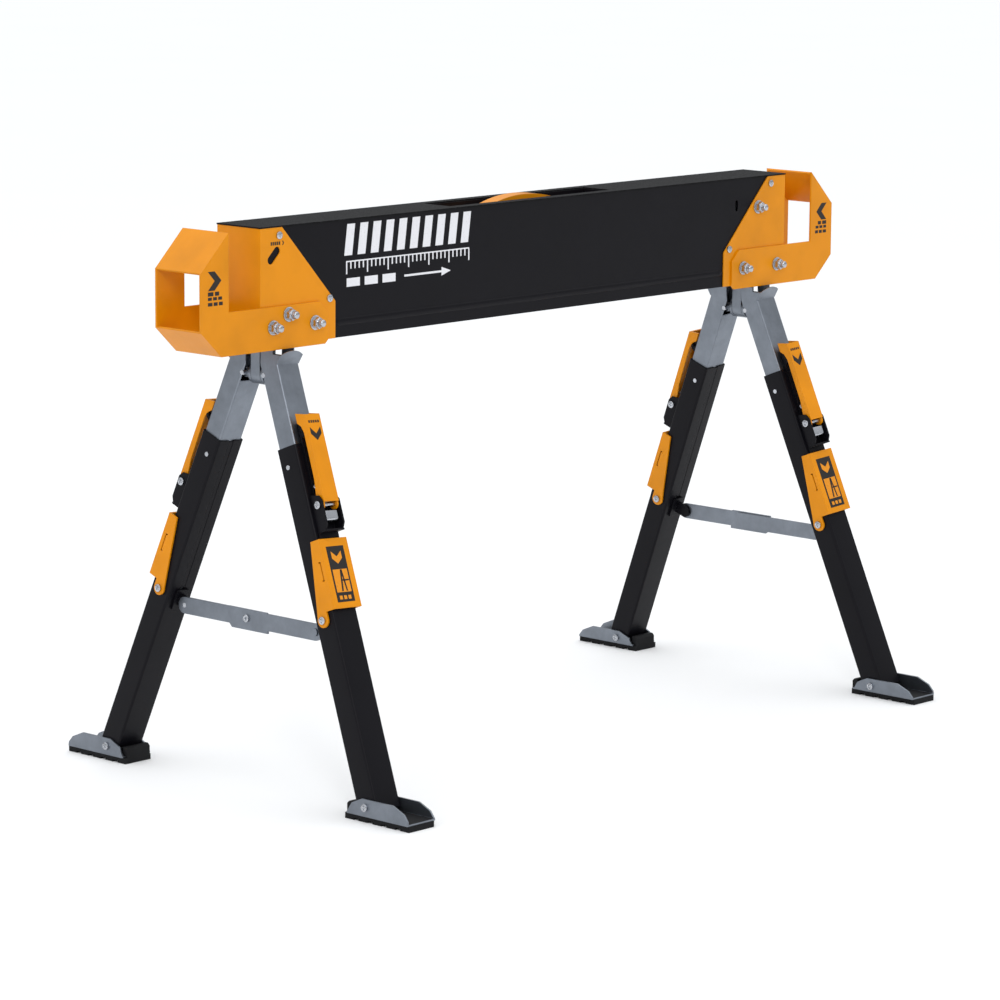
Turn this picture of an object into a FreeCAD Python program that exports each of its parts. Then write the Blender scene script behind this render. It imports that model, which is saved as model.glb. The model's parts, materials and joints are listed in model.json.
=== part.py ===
import FreeCAD, Part
import math
import os

from FreeCAD import Matrix, Vector

# Folding sawhorse with adjustable legs.  Millimetres, +Z up, X along the beam,
# front side toward -Y, origin on the floor under the middle of the beam.

# ---- overall sizes ------------------------------------------------------
BEAM_LENGTH = 950.0
BEAM_WIDTH = 68.2
BEAM_TOP = 666.0
BEAM_HEIGHT = 139.0
FOOT_SPREAD = 452.4          # between the front and back leg axes at the floor
END_TO_PIN = 39.0            # from each end of the beam to the fold pin of that leg pair
PIN_BELOW_BEAM = 37.0        # fold pin below the lower edge of the beam
AXIS_OFFSET = 31.2           # leg axis from the middle plane at fold pin height
RAKE_DEG = 3.6               # feet stand further out along the beam than the pins

# ---- sheet and clearances -----------------------------------------------
BEAM_WALL = 1.2
CAP_SHEET = 1.5
ARM_SHEET = 2.5
TUBE_WALL = 1.4
SLIDE_GAP = 0.6              # between the telescoping tubes, each side
SIDE_GAP = 0.5               # between flat faces of neighbouring moving pieces
PIN_GAP = 0.05               # radial running clearance of pins
BOLT_GAP = 0.3               # radial clearance of through bolts

# ---- beam details ---------------------------------------------------------
GRIP_THICK = 1.6             # plate on top of the channel
GRIP_OVERHANG = 0.6          # of that plate past the end caps
RECESS_LENGTH = 290.0
RECESS_WIDTH = 44.0
TRAY_DEPTH = 50.0
TRAY_WALL = 1.2
GROOVE_END = 125.0           # plain length of the beam past each end of the groove
GROOVE_HEIGHT = 8.0
GROOVE_DEPTH = 0.6
GROOVE_ABOVE_EDGE = 14.0

# ---- end arms -------------------------------------------------------------
NOTCH_WIDTH = 52.0
NOTCH_DEPTH = 93.0
ARM_REACH = 95.5             # beyond the end of the beam
ARM_DROP = 4.5               # lower edge of the arm below the beam
ARM_LAP = 108.0              # arm plate lapping along the beam
ARM_CHAMFER = 14.0
ARM_TIP_DROP = 2.0           # tip of the arm below the top of the beam
ARM_LOW_CUT = (32.0, 30.0)   # length and height of the slanting lower corner
ARM_CORNER = 5.0

# ---- fasteners --------------------------------------------------------------
ARM_BOLT_R = 4.0
ARM_BOLT_PITCH = 68.0
ARM_BOLT_IN = 52.0           # middle of the pair, in from the end of the beam
ARM_BOLT_RISE = 22.0         # above the lower edge of the beam
LEFT_BOLT = (43.0, 35.5)     # in from the end of the beam, up from its lower edge
RIGHT_BOLT = (55.0, 99.0)
WASHER_R = 8.6
WASHER_T = 1.5
NUT_R = 7.2
NUT_T = 6.0
BOLT_TIP = 3.5

# ---- legs (u across, o outward, w up along the leg, w = 0 on the floor) ------
SLIDE_W = 39.4
SLIDE_D = 31.2
SLIDE_CORNER = 2.8           # outer corner radius of the slide
INNER_CORNER = 2.2           # outer corner radius of the inner tube
SLIDE_TOP = 443.5
INNER_LOW = 60.0
HEAD_LEAN_DEG = 30.0
HEAD_LOW = 15.0              # outer corner of the mitre above the fold pin
HEAD_TOP = 31.4
HEAD_LENGTH = 40.0
HINGE_OFFSET = 18.0          # splay hinge from the middle plane
HINGE_PIN_R = 3.0
KNUCKLE_R = 5.5
KNUCKLE_HALF = 12.0
FOLD_PIN_R = 5.0
TONGUE_HALF_T = 7.5
TONGUE_HALF_W = 13.0
CHEEK_IN = 8.0
CHEEK_OUT = 12.0
SHELF_RISE = 3.0             # underside of the hanger shelf above the lower edge of the beam

# ---- brace ------------------------------------------------------------------
BRACE_W = 230.0              # along the leg, above the floor
BRACE_STANDOFF = 12.6
BRACE_BAR_H = 20.0
BRACE_BAR_T = 3.0
BRACE_PIN_R = 3.0
FRONT_BAR_U = -8.0
BACK_BAR_U = -4.4
STUD_HALF = 3.0
TAB_GAP = 0.4                # between the tab and the slide it passes over
TAB_SHEET = 2.5
TAB_HALF_W = 9.0
TAB_HALF_H = 13.0
TAB_EAR_R = 8.0
TAB_SCREW_R = 4.4
TAB_SCREW_T = 2.2
BAR_GAP = 0.4                # between the faces of brace bars and ears
PIN_HEAD_T = 1.5
CENTRE_RIVET_R = 4.5
CENTRE_RIVET_T = 1.6
CENTRE_RIVET_Y = 2.0
CENTRE_PLATE = [(-31.0, 11.0), (-34.0, -13.5), (26.0, -13.5), (34.0, -5.5), (34.0, 11.0)]

# ---- lock housing, lever, support -------------------------------------------
CLEVIS_PIN_W = 367.5
CLEVIS_PIN_O = 26.0
CLEVIS_HALF = 14.8
CLEVIS_SHEET = 2.2
CLEVIS_LOW = 338.0
CLEVIS_TOP = 381.0
CLEVIS_FRONT = 33.0
CLEVIS_CORNER = (29.0, 6.0)     # distance out where the corner starts, and its height
HOUSING_LOW = 330.0
HOUSING_HALF = 8.8
HOUSING_SHEET = 2.0
LEVER_HALF = 12.0
LEVER_SHEET = 2.2
LEVER_FACE = 34.0
LEVER_TOP = 473.5
LEVER_PIN_R = 3.0
LATCH_W = 458.0
LATCH_O = 23.0
LATCH_R = 1.9
SUPPORT_PIN_W = 237.5
SUPPORT_LOW = 246.0
SUPPORT_TOP = 328.5
SUPPORT_FACE = 22.0
SUPPORT_SHEET = 2.2
SUPPORT_LOBE_R = 8.5
SUPPORT_PIN_R = 3.25
SCREW_HEAD_R = 4.6
SCREW_HEAD_T = 2.2
HEAD_GAP = 0.2               # under the heads of the screws that act as pivots

# ---- feet ---------------------------------------------------------------------
FOOT_PIN_W = 17.5
FOOT_PIN_R = 3.5
PAD_LENGTH = 102.0
PAD_WIDTH = 41.0
PAD_THICK = 7.0
PAD_OUTWARD = 11.6           # middle of the pad beyond the leg axis at the floor
LUG_COUNT = 5
LUG_GROOVE = 8.0
LUG_DEPTH = 2.5
SHOE_SHEET = 2.2
SHOE_HEIGHT = 26.0
WEB_GAP = 2.6
FOOT_SWING = 16.0            # swing the clearance under the leg allows each way
HEEL_HEIGHT = 20.0
HEEL_LENGTH = 7.5

# ---- carry handle ---------------------------------------------------------------
HANDLE_WIDTH = 20.0
HANDLE_THICK = 7.0
HANDLE_RADIUS = 204.0
HANDLE_PEAK = 4.0            # crown of the arch above the top of the beam
HANDLE_PIN_X = 116.0
HANDLE_PIN_R = 3.0
HANDLE_RIM = 4.0
HANDLE_LIFT = 12.0

# ---- derived --------------------------------------------------------------------
HALF_L = BEAM_LENGTH / 2
HALF_W = BEAM_WIDTH / 2
BEAM_LOW = BEAM_TOP - BEAM_HEIGHT
FOLD_HEIGHT = BEAM_LOW - PIN_BELOW_BEAM
HANGER_SHELF = BEAM_LOW + SHELF_RISE
PAD_CENTRE = FOOT_SPREAD / 2 + PAD_OUTWARD
CAP_Y = HALF_W + CAP_SHEET
ARM_Y = CAP_Y + ARM_SHEET
NOTCH_FLOOR = BEAM_TOP - NOTCH_DEPTH
RAKE = math.radians(RAKE_DEG)
PIN_PATH = FOLD_HEIGHT / math.cos(RAKE)
SPLAY = math.atan((FOOT_SPREAD / 2 - AXIS_OFFSET) / PIN_PATH)
LEG_W0 = PIN_PATH / math.cos(SPLAY)
INNER_W = SLIDE_W - 2 * TUBE_WALL - 2 * SLIDE_GAP
INNER_D = SLIDE_D - 2 * TUBE_WALL - 2 * SLIDE_GAP
PAIR_X = HALF_L - END_TO_PIN
SIDE_SEAT = SLIDE_W / 2 + 0.6     # inner face of brackets that straddle the slide


def box(x0, x1, y0, y1, z0, z1):
    """Block between the given corner values, in any order."""
    x0, x1 = sorted((x0, x1))
    y0, y1 = sorted((y0, y1))
    z0, z1 = sorted((z0, z1))
    return Part.makeBox(x1 - x0, y1 - y0, z1 - z0, Vector(x0, y0, z0))


def rod(x, y, z, axis, radius, start, end):
    """Cylinder along one axis; start and end are positions on that axis."""
    start, end = sorted((start, end))
    if axis == "x":
        return Part.makeCylinder(radius, end - start, Vector(start, y, z), Vector(1, 0, 0))
    if axis == "y":
        return Part.makeCylinder(radius, end - start, Vector(x, start, z), Vector(0, 1, 0))
    return Part.makeCylinder(radius, end - start, Vector(x, y, start), Vector(0, 0, 1))


def plate_xz(points, y0, y1):
    """Plate with an outline in X and Z between two Y positions."""
    wire = Part.makePolygon([Vector(x, y0, z) for x, z in points + points[:1]])
    return Part.Face(wire).extrude(Vector(0, y1 - y0, 0))


def plate_yz(points, x0, x1):
    """Plate with an outline in Y and Z between two X positions."""
    wire = Part.makePolygon([Vector(x0, y, z) for y, z in points + points[:1]])
    return Part.Face(wire).extrude(Vector(x1 - x0, 0, 0))


def bar(half_x, half_y, z0, z1, radius):
    """Upright bar with rounded corners, for a tube or its bore."""
    block = box(-half_x, half_x, -half_y, half_y, z0, z1)
    edges = [edge for edge in block.Edges if abs(edge.tangentAt(edge.FirstParameter).z) > 0.9]
    return block.makeFillet(radius, edges)


def hexagon(x, z, radius, y0, y1):
    """Hexagonal prism along Y."""
    points = []
    for corner in range(6):
        angle = math.radians(60 * corner + 30)
        points.append((x + radius * math.cos(angle), z + radius * math.sin(angle)))
    return plate_xz(points, y0, y1)


def fuse(shapes):
    """One solid from touching shapes."""
    shape = shapes[0].multiFuse(shapes[1:]) if len(shapes) > 1 else shapes[0]
    return shape.removeSplitter()


def turned(shape, axis, degrees, centre=Vector(0, 0, 0)):
    """Copy turned about an axis through a centre."""
    copy = shape.copy()
    copy.rotate(centre, axis, degrees)
    return copy


def moved(shape, x, y, z):
    """Copy moved by a vector."""
    copy = shape.copy()
    copy.translate(Vector(x, y, z))
    return copy


def save(name, shape):
    """Write one node as a STEP file."""
    shape.exportStep(os.path.join("parts", name + ".step"))


def opposite(shape):
    """The same shape turned half a turn about the vertical."""
    return turned(shape, Vector(0, 0, 1), 180)


# ---- placing the legs -------------------------------------------------------------
def pair_to_world(shape, side):
    """Place a shape drawn about the fold pin, upright, on the left or right pair."""
    placed = turned(shape, Vector(0, 1, 0), RAKE_DEG)
    placed = moved(placed, -PAIR_X, 0, FOLD_HEIGHT)
    return placed if side == "left" else opposite(placed)


def leg_to_pair(shape, row):
    """Place a shape drawn in leg coordinates on the front or back leg of a pair."""
    placed = moved(shape, 0, 0, -LEG_W0)
    placed = turned(placed, Vector(1, 0, 0), -math.degrees(SPLAY))
    placed = moved(placed, 0, -AXIS_OFFSET, 0)
    return placed if row == "front" else opposite(placed)


def leg_to_world(shape, side, row):
    """Place a shape drawn in leg coordinates on one of the four legs."""
    return pair_to_world(leg_to_pair(shape, row), side)


LEGS = [("left", "front"), ("left", "back"), ("right", "front"), ("right", "back")]


def leg_row(side, row):
    """Row of the canonical pair that lands at this corner after the half turn."""
    if side == "left":
        return row
    return "back" if row == "front" else "front"


def leg_name(stem, side, row):
    """Node name for one corner."""
    return "%s_%s_%s" % (stem, side, row)


# ---- beam ---------------------------------------------------------------------------
def arm_bolt_places():
    """X and Z of the bolts that hold the arms."""
    places = []
    for side in (-1, 1):
        for step in (-0.5, 0.5):
            places.append((side * (HALF_L - ARM_BOLT_IN + step * ARM_BOLT_PITCH), BEAM_LOW + ARM_BOLT_RISE))
    return places


def hanger_bolt_places():
    """X and Z of the two long bolts through the beam."""
    return [(LEFT_BOLT[0] - HALF_L, BEAM_LOW + LEFT_BOLT[1]), (HALF_L - RIGHT_BOLT[0], BEAM_LOW + RIGHT_BOLT[1])]


def bolt_holes():
    """Cutters for every bolt that goes through the side walls."""
    reach = ARM_Y + 5
    holes = [rod(x, 0, z, "y", ARM_BOLT_R + BOLT_GAP, -reach, reach) for x, z in arm_bolt_places()]
    holes += [rod(x, 0, z, "y", ARM_BOLT_R + BOLT_GAP, -reach, reach) for x, z in hanger_bolt_places()]
    return Part.makeCompound(holes)


SLOT_X = HALF_L - 96.0
SLOT_Z = BEAM_LOW + 103.0
SLOT_HALF = 4.5
SLOT_R = 2.6


def lock_slots():
    """Cutter for the upright slot near the right end and its twin at the left end."""
    parts = [box(SLOT_X - SLOT_R, SLOT_X + SLOT_R, -ARM_Y, 0, SLOT_Z - SLOT_HALF, SLOT_Z + SLOT_HALF)]
    for z in (SLOT_Z - SLOT_HALF, SLOT_Z + SLOT_HALF):
        parts.append(rod(SLOT_X, 0, z, "y", SLOT_R, -ARM_Y, 0))
    slot = fuse(parts)
    return Part.makeCompound([slot, opposite(slot)])


def beam_channel():
    """Inverted U channel with a recess opening for the handle."""
    end = HALF_L - CAP_SHEET
    outer = box(-end, end, -HALF_W, HALF_W, BEAM_LOW, BEAM_TOP - GRIP_THICK)
    inner = box(-end, end, -HALF_W + BEAM_WALL, HALF_W - BEAM_WALL, BEAM_LOW,
                BEAM_TOP - GRIP_THICK - BEAM_WALL)
    shell = outer.cut(inner)
    half = RECESS_LENGTH / 2
    shell = shell.cut(box(-half, half, -RECESS_WIDTH / 2, RECESS_WIDTH / 2, BEAM_TOP - 10, BEAM_TOP))
    low = BEAM_LOW + GROOVE_ABOVE_EDGE
    for side in (-1, 1):
        groove = box(GROOVE_END - HALF_L, HALF_L - GROOVE_END, side * (HALF_W - GROOVE_DEPTH), side * (HALF_W + 1),
                     low, low + GROOVE_HEIGHT)
        shell = shell.cut(groove)
    shell = shell.cut(bolt_holes())
    shell = shell.cut(lock_slots())
    return shell.cut(cap_screw_shanks())


def grip_plate():
    """Plate with a gritty surface over the channel and caps, open over the handle recess."""
    end = HALF_L + GRIP_OVERHANG
    edge = CAP_Y + GRIP_OVERHANG
    strip = box(-end, end, -edge, edge, BEAM_TOP - GRIP_THICK, BEAM_TOP)
    half = RECESS_LENGTH / 2
    return strip.cut(box(-half, half, -RECESS_WIDTH / 2, RECESS_WIDTH / 2, BEAM_TOP - 5, BEAM_TOP + 1))


CAP_FLANK_TOP = 35.0
CAP_FLANK_LOW = 122.0
CAP_LOW_EDGE = 44.0


def end_cap():
    """Left end cap: end plate and two flanks folded round the channel."""
    top = BEAM_TOP - GRIP_THICK
    flank = [(-HALF_L, BEAM_LOW), (-HALF_L, top), (-HALF_L + CAP_FLANK_TOP, top),
             (-HALF_L + CAP_FLANK_LOW, BEAM_LOW + CAP_LOW_EDGE), (-HALF_L + CAP_FLANK_LOW, BEAM_LOW)]
    plates = [plate_xz(flank, HALF_W, CAP_Y), plate_xz(flank, -CAP_Y, -HALF_W)]
    plates.append(box(-HALF_L, -HALF_L + CAP_SHEET, -HALF_W, HALF_W, BEAM_LOW, top))
    cap = fuse(plates).cut(cap_screw_shanks())
    return cap.cut(oblong_hole())


OBLONG_X = HALF_L - 22.0
OBLONG_Z = BEAM_LOW + 105.0
OBLONG_HALF = 7.0
OBLONG_R = 5.0


def oblong_hole():
    """Slanting oblong hole through the front flank of the left cap and its twin at the back."""
    reach = OBLONG_HALF * math.sqrt(0.5)
    parts = []
    for sign in (-1, 1):
        parts.append(rod(-OBLONG_X + sign * reach, 0, OBLONG_Z + sign * reach, "y", OBLONG_R,
                         -CAP_Y - 1, -HALF_W))
    bar = box(-OBLONG_HALF, OBLONG_HALF, -CAP_Y - 1, -HALF_W, -OBLONG_R, OBLONG_R)
    bar = moved(turned(bar, Vector(0, 1, 0), -45), -OBLONG_X, 0, OBLONG_Z)
    return fuse(parts + [bar])


CAP_SCREW_R = 2.0
CAP_SCREW_HEAD = 4.4
CAP_SCREW_T = 1.8
UPPER_SCREW = (30.0, 11.0)      # in from the end of the beam, down from its top
LOWER_SCREW = (112.0, 48.0)     # in from the end of the beam, up from its lower edge


def cap_screw_places():
    """X and Z of the screws in each flank."""
    places = []
    for side in (-1, 1):
        places.append((side * (HALF_L - UPPER_SCREW[0]), BEAM_TOP - UPPER_SCREW[1]))
        places.append((side * (HALF_L - LOWER_SCREW[0]), BEAM_LOW + LOWER_SCREW[1]))
    return places


def cap_screw_shanks():
    """Shanks of the cap screws through cap and channel."""
    shanks = []
    for x, z in cap_screw_places():
        for side in (-1, 1):
            shanks.append(rod(x, 0, z, "y", CAP_SCREW_R, side * (HALF_W - BEAM_WALL), side * CAP_Y))
    return Part.makeCompound(shanks)


def cap_screws():
    """Small screws of both end caps."""
    screws = []
    for x, z in cap_screw_places():
        for side in (-1, 1):
            shank = rod(x, 0, z, "y", CAP_SCREW_R, side * (HALF_W - BEAM_WALL), side * CAP_Y)
            head = rod(x, 0, z, "y", CAP_SCREW_HEAD, side * CAP_Y, side * (CAP_Y + CAP_SCREW_T))
            screws.append(fuse([shank, head]))
    return Part.makeCompound(screws)


def arm_outline():
    """Outline of the left arm plate."""
    x_out = -HALF_L - ARM_REACH
    x_notch = -HALF_L - NOTCH_WIDTH
    x_in = -HALF_L + ARM_LAP
    low = BEAM_LOW - ARM_DROP
    tip = BEAM_TOP - ARM_TIP_DROP
    slope = x_notch - x_out
    return [(x_notch, tip), (x_out, tip - slope), (x_out, low + ARM_LOW_CUT[1]), (x_out + ARM_LOW_CUT[0], low),
            (x_in - ARM_CORNER, low), (x_in, low + ARM_CORNER), (x_in, NOTCH_FLOOR - ARM_CHAMFER),
            (x_in - ARM_CHAMFER, NOTCH_FLOOR), (x_notch, NOTCH_FLOOR)]


def slant_flange(start, end):
    """Strip joining front and back plates along one slanting edge of the arm."""
    dx = end[0] - start[0]
    dz = end[1] - start[1]
    length = math.hypot(dx, dz)
    nx = -dz / length * ARM_SHEET
    nz = dx / length * ARM_SHEET
    points = [start, end, (end[0] + nx, end[1] + nz), (start[0] + nx, start[1] + nz)]
    return plate_xz(points, -CAP_Y, CAP_Y)


def arm():
    """Left lumber arm: two notched plates joined by a top and a bottom strip."""
    outline = arm_outline()
    plates = [plate_xz(outline, CAP_Y, ARM_Y), plate_xz(outline, -ARM_Y, -CAP_Y)]
    plates.append(slant_flange(outline[0], outline[1]))
    plates.append(slant_flange(outline[2], outline[3]))
    return fuse(plates)


def arm_bolts():
    """Round-headed bolts holding the arms, heads inside the channel."""
    bolts = []
    for x, z in arm_bolt_places():
        for side in (-1, 1):
            inner = side * (HALF_W - BEAM_WALL)
            head = rod(x, 0, z, "y", ARM_BOLT_R * 2, inner - side * 2.0, inner)
            tip = ARM_Y + WASHER_T + NUT_T + BOLT_TIP
            bolts.append(fuse([head, rod(x, 0, z, "y", ARM_BOLT_R, inner, side * tip)]))
    return Part.makeCompound(bolts)


def seat_y(z):
    """Face on which a washer rests: arm plate low down, cap flank higher up."""
    return ARM_Y if z < NOTCH_FLOOR else CAP_Y


def hanger_bolts():
    """Two long bolts from back to front."""
    bolts = []
    for x, z in hanger_bolt_places():
        seat = seat_y(z)
        shank = rod(x, 0, z, "y", ARM_BOLT_R, -seat - WASHER_T - NUT_T - BOLT_TIP, seat + WASHER_T)
        head = hexagon(x, z, NUT_R, seat + WASHER_T, seat + WASHER_T + NUT_T)
        bolts.append(fuse([shank, head]))
    return Part.makeCompound(bolts)


def washers():
    """Washers of every through bolt."""
    rings = []
    for x, z in arm_bolt_places() + hanger_bolt_places():
        seat = seat_y(z)
        for side in (-1, 1):
            ring = rod(x, 0, z, "y", WASHER_R, side * seat, side * (seat + WASHER_T))
            rings.append(ring.cut(rod(x, 0, z, "y", ARM_BOLT_R + BOLT_GAP, -60, 60)))
    return Part.makeCompound(rings)


def nuts():
    """Nuts of every bolt."""
    pieces = []
    for x, z in arm_bolt_places():
        for side in (-1, 1):
            pieces.append((x, z, side))
    for x, z in hanger_bolt_places():
        pieces.append((x, z, -1))
    solids = []
    for x, z, side in pieces:
        seat = seat_y(z) + WASHER_T
        nut = hexagon(x, z, NUT_R, side * seat, side * (seat + NUT_T))
        solids.append(nut.cut(rod(x, 0, z, "y", ARM_BOLT_R, -60, 60)))
    return Part.makeCompound(solids)


def hanger(bolt_x, bolt_z, pin_x):
    """Bracket inside the channel; its tongue carries the fold pin below the beam."""
    inside = HALF_W - BEAM_WALL
    sleeve = rod(bolt_x, 0, bolt_z, "y", ARM_BOLT_R * 2, -inside, inside)
    left = min(bolt_x, pin_x) - TONGUE_HALF_W
    right = max(bolt_x, pin_x) + TONGUE_HALF_W
    web = box(left, right, -TONGUE_HALF_T, TONGUE_HALF_T, HANGER_SHELF, bolt_z + 10)
    shelf = box(left, right, -inside, inside, HANGER_SHELF, HANGER_SHELF + 5)
    tongue = box(pin_x - TONGUE_HALF_W, pin_x + TONGUE_HALF_W, -TONGUE_HALF_T, TONGUE_HALF_T,
                 FOLD_HEIGHT, HANGER_SHELF)
    round_end = rod(pin_x, 0, FOLD_HEIGHT, "y", TONGUE_HALF_W, -TONGUE_HALF_T, TONGUE_HALF_T)
    body = fuse([sleeve, web, shelf, tongue, round_end])
    body = body.cut(rod(pin_x, 0, FOLD_HEIGHT, "y", FOLD_PIN_R + PIN_GAP, -50, 50))
    return body.cut(rod(bolt_x, 0, bolt_z, "y", ARM_BOLT_R + BOLT_GAP, -50, 50))


# ---- handle --------------------------------------------------------------------------
def handle_tray():
    """Open tray hung in the recess of the beam."""
    half = RECESS_LENGTH / 2
    wide = RECESS_WIDTH / 2
    low = BEAM_TOP - TRAY_DEPTH
    outer = box(-half, half, -wide, wide, low, BEAM_TOP - GRIP_THICK)
    inner = box(-half + TRAY_WALL, half - TRAY_WALL, -wide + TRAY_WALL, wide - TRAY_WALL,
                low + TRAY_WALL, BEAM_TOP)
    tray = outer.cut(inner)
    for side in (-1, 1):
        x = side * HANDLE_PIN_X
        post = rod(x, 0, handle_pin_z(), "y", HANDLE_PIN_R, -wide + TRAY_WALL, wide - TRAY_WALL)
        tray = tray.fuse(post)
    return tray.removeSplitter()


def handle_pin_z():
    """Height of the posts that carry the handle."""
    return BEAM_TOP - TRAY_DEPTH + TRAY_WALL + 1.0 + HANDLE_RIM + HANDLE_PIN_R + HANDLE_LIFT


def handle_slot(x):
    """Upright slot that lets the handle rise on its post."""
    z = handle_pin_z()
    radius = HANDLE_PIN_R + PIN_GAP
    parts = [box(x - radius, x + radius, -40, 40, z - HANDLE_LIFT, z)]
    parts.append(rod(x, 0, z, "y", radius, -40, 40))
    parts.append(rod(x, 0, z - HANDLE_LIFT, "y", radius, -40, 40))
    return fuse(parts)


def carry_handle():
    """Arched grip with a slotted end plate at each end riding on the tray posts."""
    half = HANDLE_WIDTH / 2
    centre = BEAM_TOP + HANDLE_PEAK - HANDLE_RADIUS
    low = handle_pin_z() - HANDLE_LIFT - HANDLE_PIN_R - HANDLE_RIM
    end = HANDLE_PIN_X + HANDLE_PIN_R + HANDLE_RIM
    arch = rod(0, 0, centre, "y", HANDLE_RADIUS, -half, half)
    arch = arch.cut(rod(0, 0, centre, "y", HANDLE_RADIUS - HANDLE_THICK, -half, half))
    arch = arch.common(box(-end, end, -half, half, low, BEAM_TOP + 20))
    parts = [arch]
    for side in (-1, 1):
        x = side * HANDLE_PIN_X
        width = HANDLE_PIN_R + HANDLE_RIM
        parts.append(box(x - width, x + width, -half, half, low, handle_pin_z() + width))
    grip = fuse(parts)
    for side in (-1, 1):
        grip = grip.cut(handle_slot(side * HANDLE_PIN_X))
    return grip


# ---- yoke --------------------------------------------------------------------------------
def yoke():
    """Two cheeks on the fold pin, each with a knuckle for one leg, drawn about the pin."""
    parts = [rod(0, 0, 0, "y", FOLD_PIN_R, -CHEEK_OUT, CHEEK_OUT)]
    for side in (-1, 1):
        parts.append(rod(0, 0, 0, "y", TONGUE_HALF_W, side * CHEEK_IN, side * CHEEK_OUT))
        parts.append(rod(0, side * HINGE_OFFSET, 0, "x", KNUCKLE_R, -KNUCKLE_HALF, KNUCKLE_HALF))
        parts.append(box(-KNUCKLE_HALF, KNUCKLE_HALF, side * CHEEK_OUT, side * HINGE_OFFSET, -4, 4))
    body = fuse(parts)
    for side in (-1, 1):
        body = body.cut(rod(0, side * HINGE_OFFSET, 0, "x", HINGE_PIN_R, -20, 20))
    return body


def splay_pins():
    """Cross pins of the two legs of a pair."""
    reach = INNER_W / 2 - 0.1
    pins = [rod(0, side * HINGE_OFFSET, 0, "x", HINGE_PIN_R, -reach, reach) for side in (-1, 1)]
    return Part.makeCompound(pins)


# ---- leg ---------------------------------------------------------------------------------
def pair_point_to_leg(y, z):
    """Leg coordinates (y, z) of a point given in the upright pair frame, front leg."""
    dy = y + AXIS_OFFSET
    local_y = dy * math.cos(SPLAY) - z * math.sin(SPLAY)
    local_z = dy * math.sin(SPLAY) + z * math.cos(SPLAY) + LEG_W0
    return local_y, local_z


def inner_tube():
    """Telescoping inner tube with its leaning head, in leg coordinates."""
    half_w = INNER_W / 2
    half_d = INNER_D / 2
    top = LEG_W0 + 60
    tube = bar(half_w, half_d, INNER_LOW, top, INNER_CORNER)
    bore = bar(half_w - TUBE_WALL, half_d - TUBE_WALL, INNER_LOW - 1, top + 1, INNER_CORNER - TUBE_WALL)
    tube = tube.cut(bore)
    tube = tube.cut(leg_box(-half_w + TUBE_WALL, half_w - TUBE_WALL, -HINGE_OFFSET - 4, 60, -14, 80))
    far = 2 * INNER_D
    corner_point = (-head_outer_y(), HEAD_LOW)
    above = [head_point(corner_point, across, along) for across, along in
             [(-far, 0), (2 * far, 0), (2 * far, 2 * far), (-far, 2 * far)]]
    tube = tube.cut(leg_prism(above, -60, 60))
    head = leg_prism(head_outline(corner_point, 0.0), -half_w, half_w)
    bore = leg_prism(head_outline(corner_point, TUBE_WALL), -half_w + TUBE_WALL, half_w - TUBE_WALL)
    tube = fuse([tube, head.cut(bore)])
    tube = tube.cut(leg_box(-60, 60, -CHEEK_OUT - SIDE_GAP, 60, KNUCKLE_R + 2.0, 90))
    tube = tube.cut(leg_box(-half_w + TUBE_WALL, half_w - TUBE_WALL, -HINGE_OFFSET - 7, 60, -9, 90))
    tube = tube.common(fold_sweep())
    pin = leg_rod(HINGE_PIN_R + PIN_GAP)
    tube = tube.cut(pin)
    window = box(-STUD_HALF, STUD_HALF, 0, half_d + 1, BRACE_W - STUD_HALF, BRACE_W + STUD_HALF)
    return tube.cut(window)


def head_outer_y():
    """Distance of the mitre's outer corner from the middle plane."""
    axis = AXIS_OFFSET - HEAD_LOW * math.tan(SPLAY)
    return axis + INNER_D / 2 / math.cos(SPLAY)


def head_point(start, across, along):
    """Point reached from start by steps across and along the leaning head, in the pair frame."""
    lean = math.radians(HEAD_LEAN_DEG)
    return (start[0] + across * math.cos(lean) - along * math.sin(lean),
            start[1] + across * math.sin(lean) + along * math.cos(lean))


def head_outline(start, inset):
    """Outline of the leaning head in the pair frame, shrunk by a wall thickness."""
    low = -5.0 if inset else 0.0
    depth = INNER_D - inset
    return [head_point(start, across, along) for across, along in
            [(inset, low), (depth, low), (depth, low + HEAD_LENGTH), (inset, low + HEAD_LENGTH)]]


def leg_prism(points, x0, x1):
    """Prism with an outline given in the upright pair frame, carried into leg coordinates."""
    return plate_yz([pair_point_to_leg(y, z) for y, z in points], x0, x1)


def leg_box(x0, x1, y0, y1, z0, z1):
    """Block given in the upright pair frame, carried into leg coordinates."""
    return leg_prism([(y0, z0), (y1, z0), (y1, z1), (y0, z1)], x0, x1)


def leg_rod(radius):
    """Cross hole for the splay pin in leg coordinates."""
    y, z = pair_point_to_leg(-HINGE_OFFSET, 0)
    return rod(0, y, z, "x", radius, -50, 50)


def fold_sweep():
    """Space the leg top may fill so that it clears the beam while folding."""
    reach = HEAD_TOP
    below = leg_box(-60, 60, -300, 80, -700, 0)
    disc = rod(0, 0, 0, "y", reach, -120, 0)
    inside = rod(0, 0, 0, "y", reach + 5.0, -HALF_W + BEAM_WALL + 1.0, 0)
    discs = disc.fuse(inside)
    placed = moved(discs, 0, AXIS_OFFSET, 0)
    placed = turned(placed, Vector(1, 0, 0), math.degrees(SPLAY))
    placed = moved(placed, 0, 0, LEG_W0)
    return below.fuse(placed)


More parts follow.
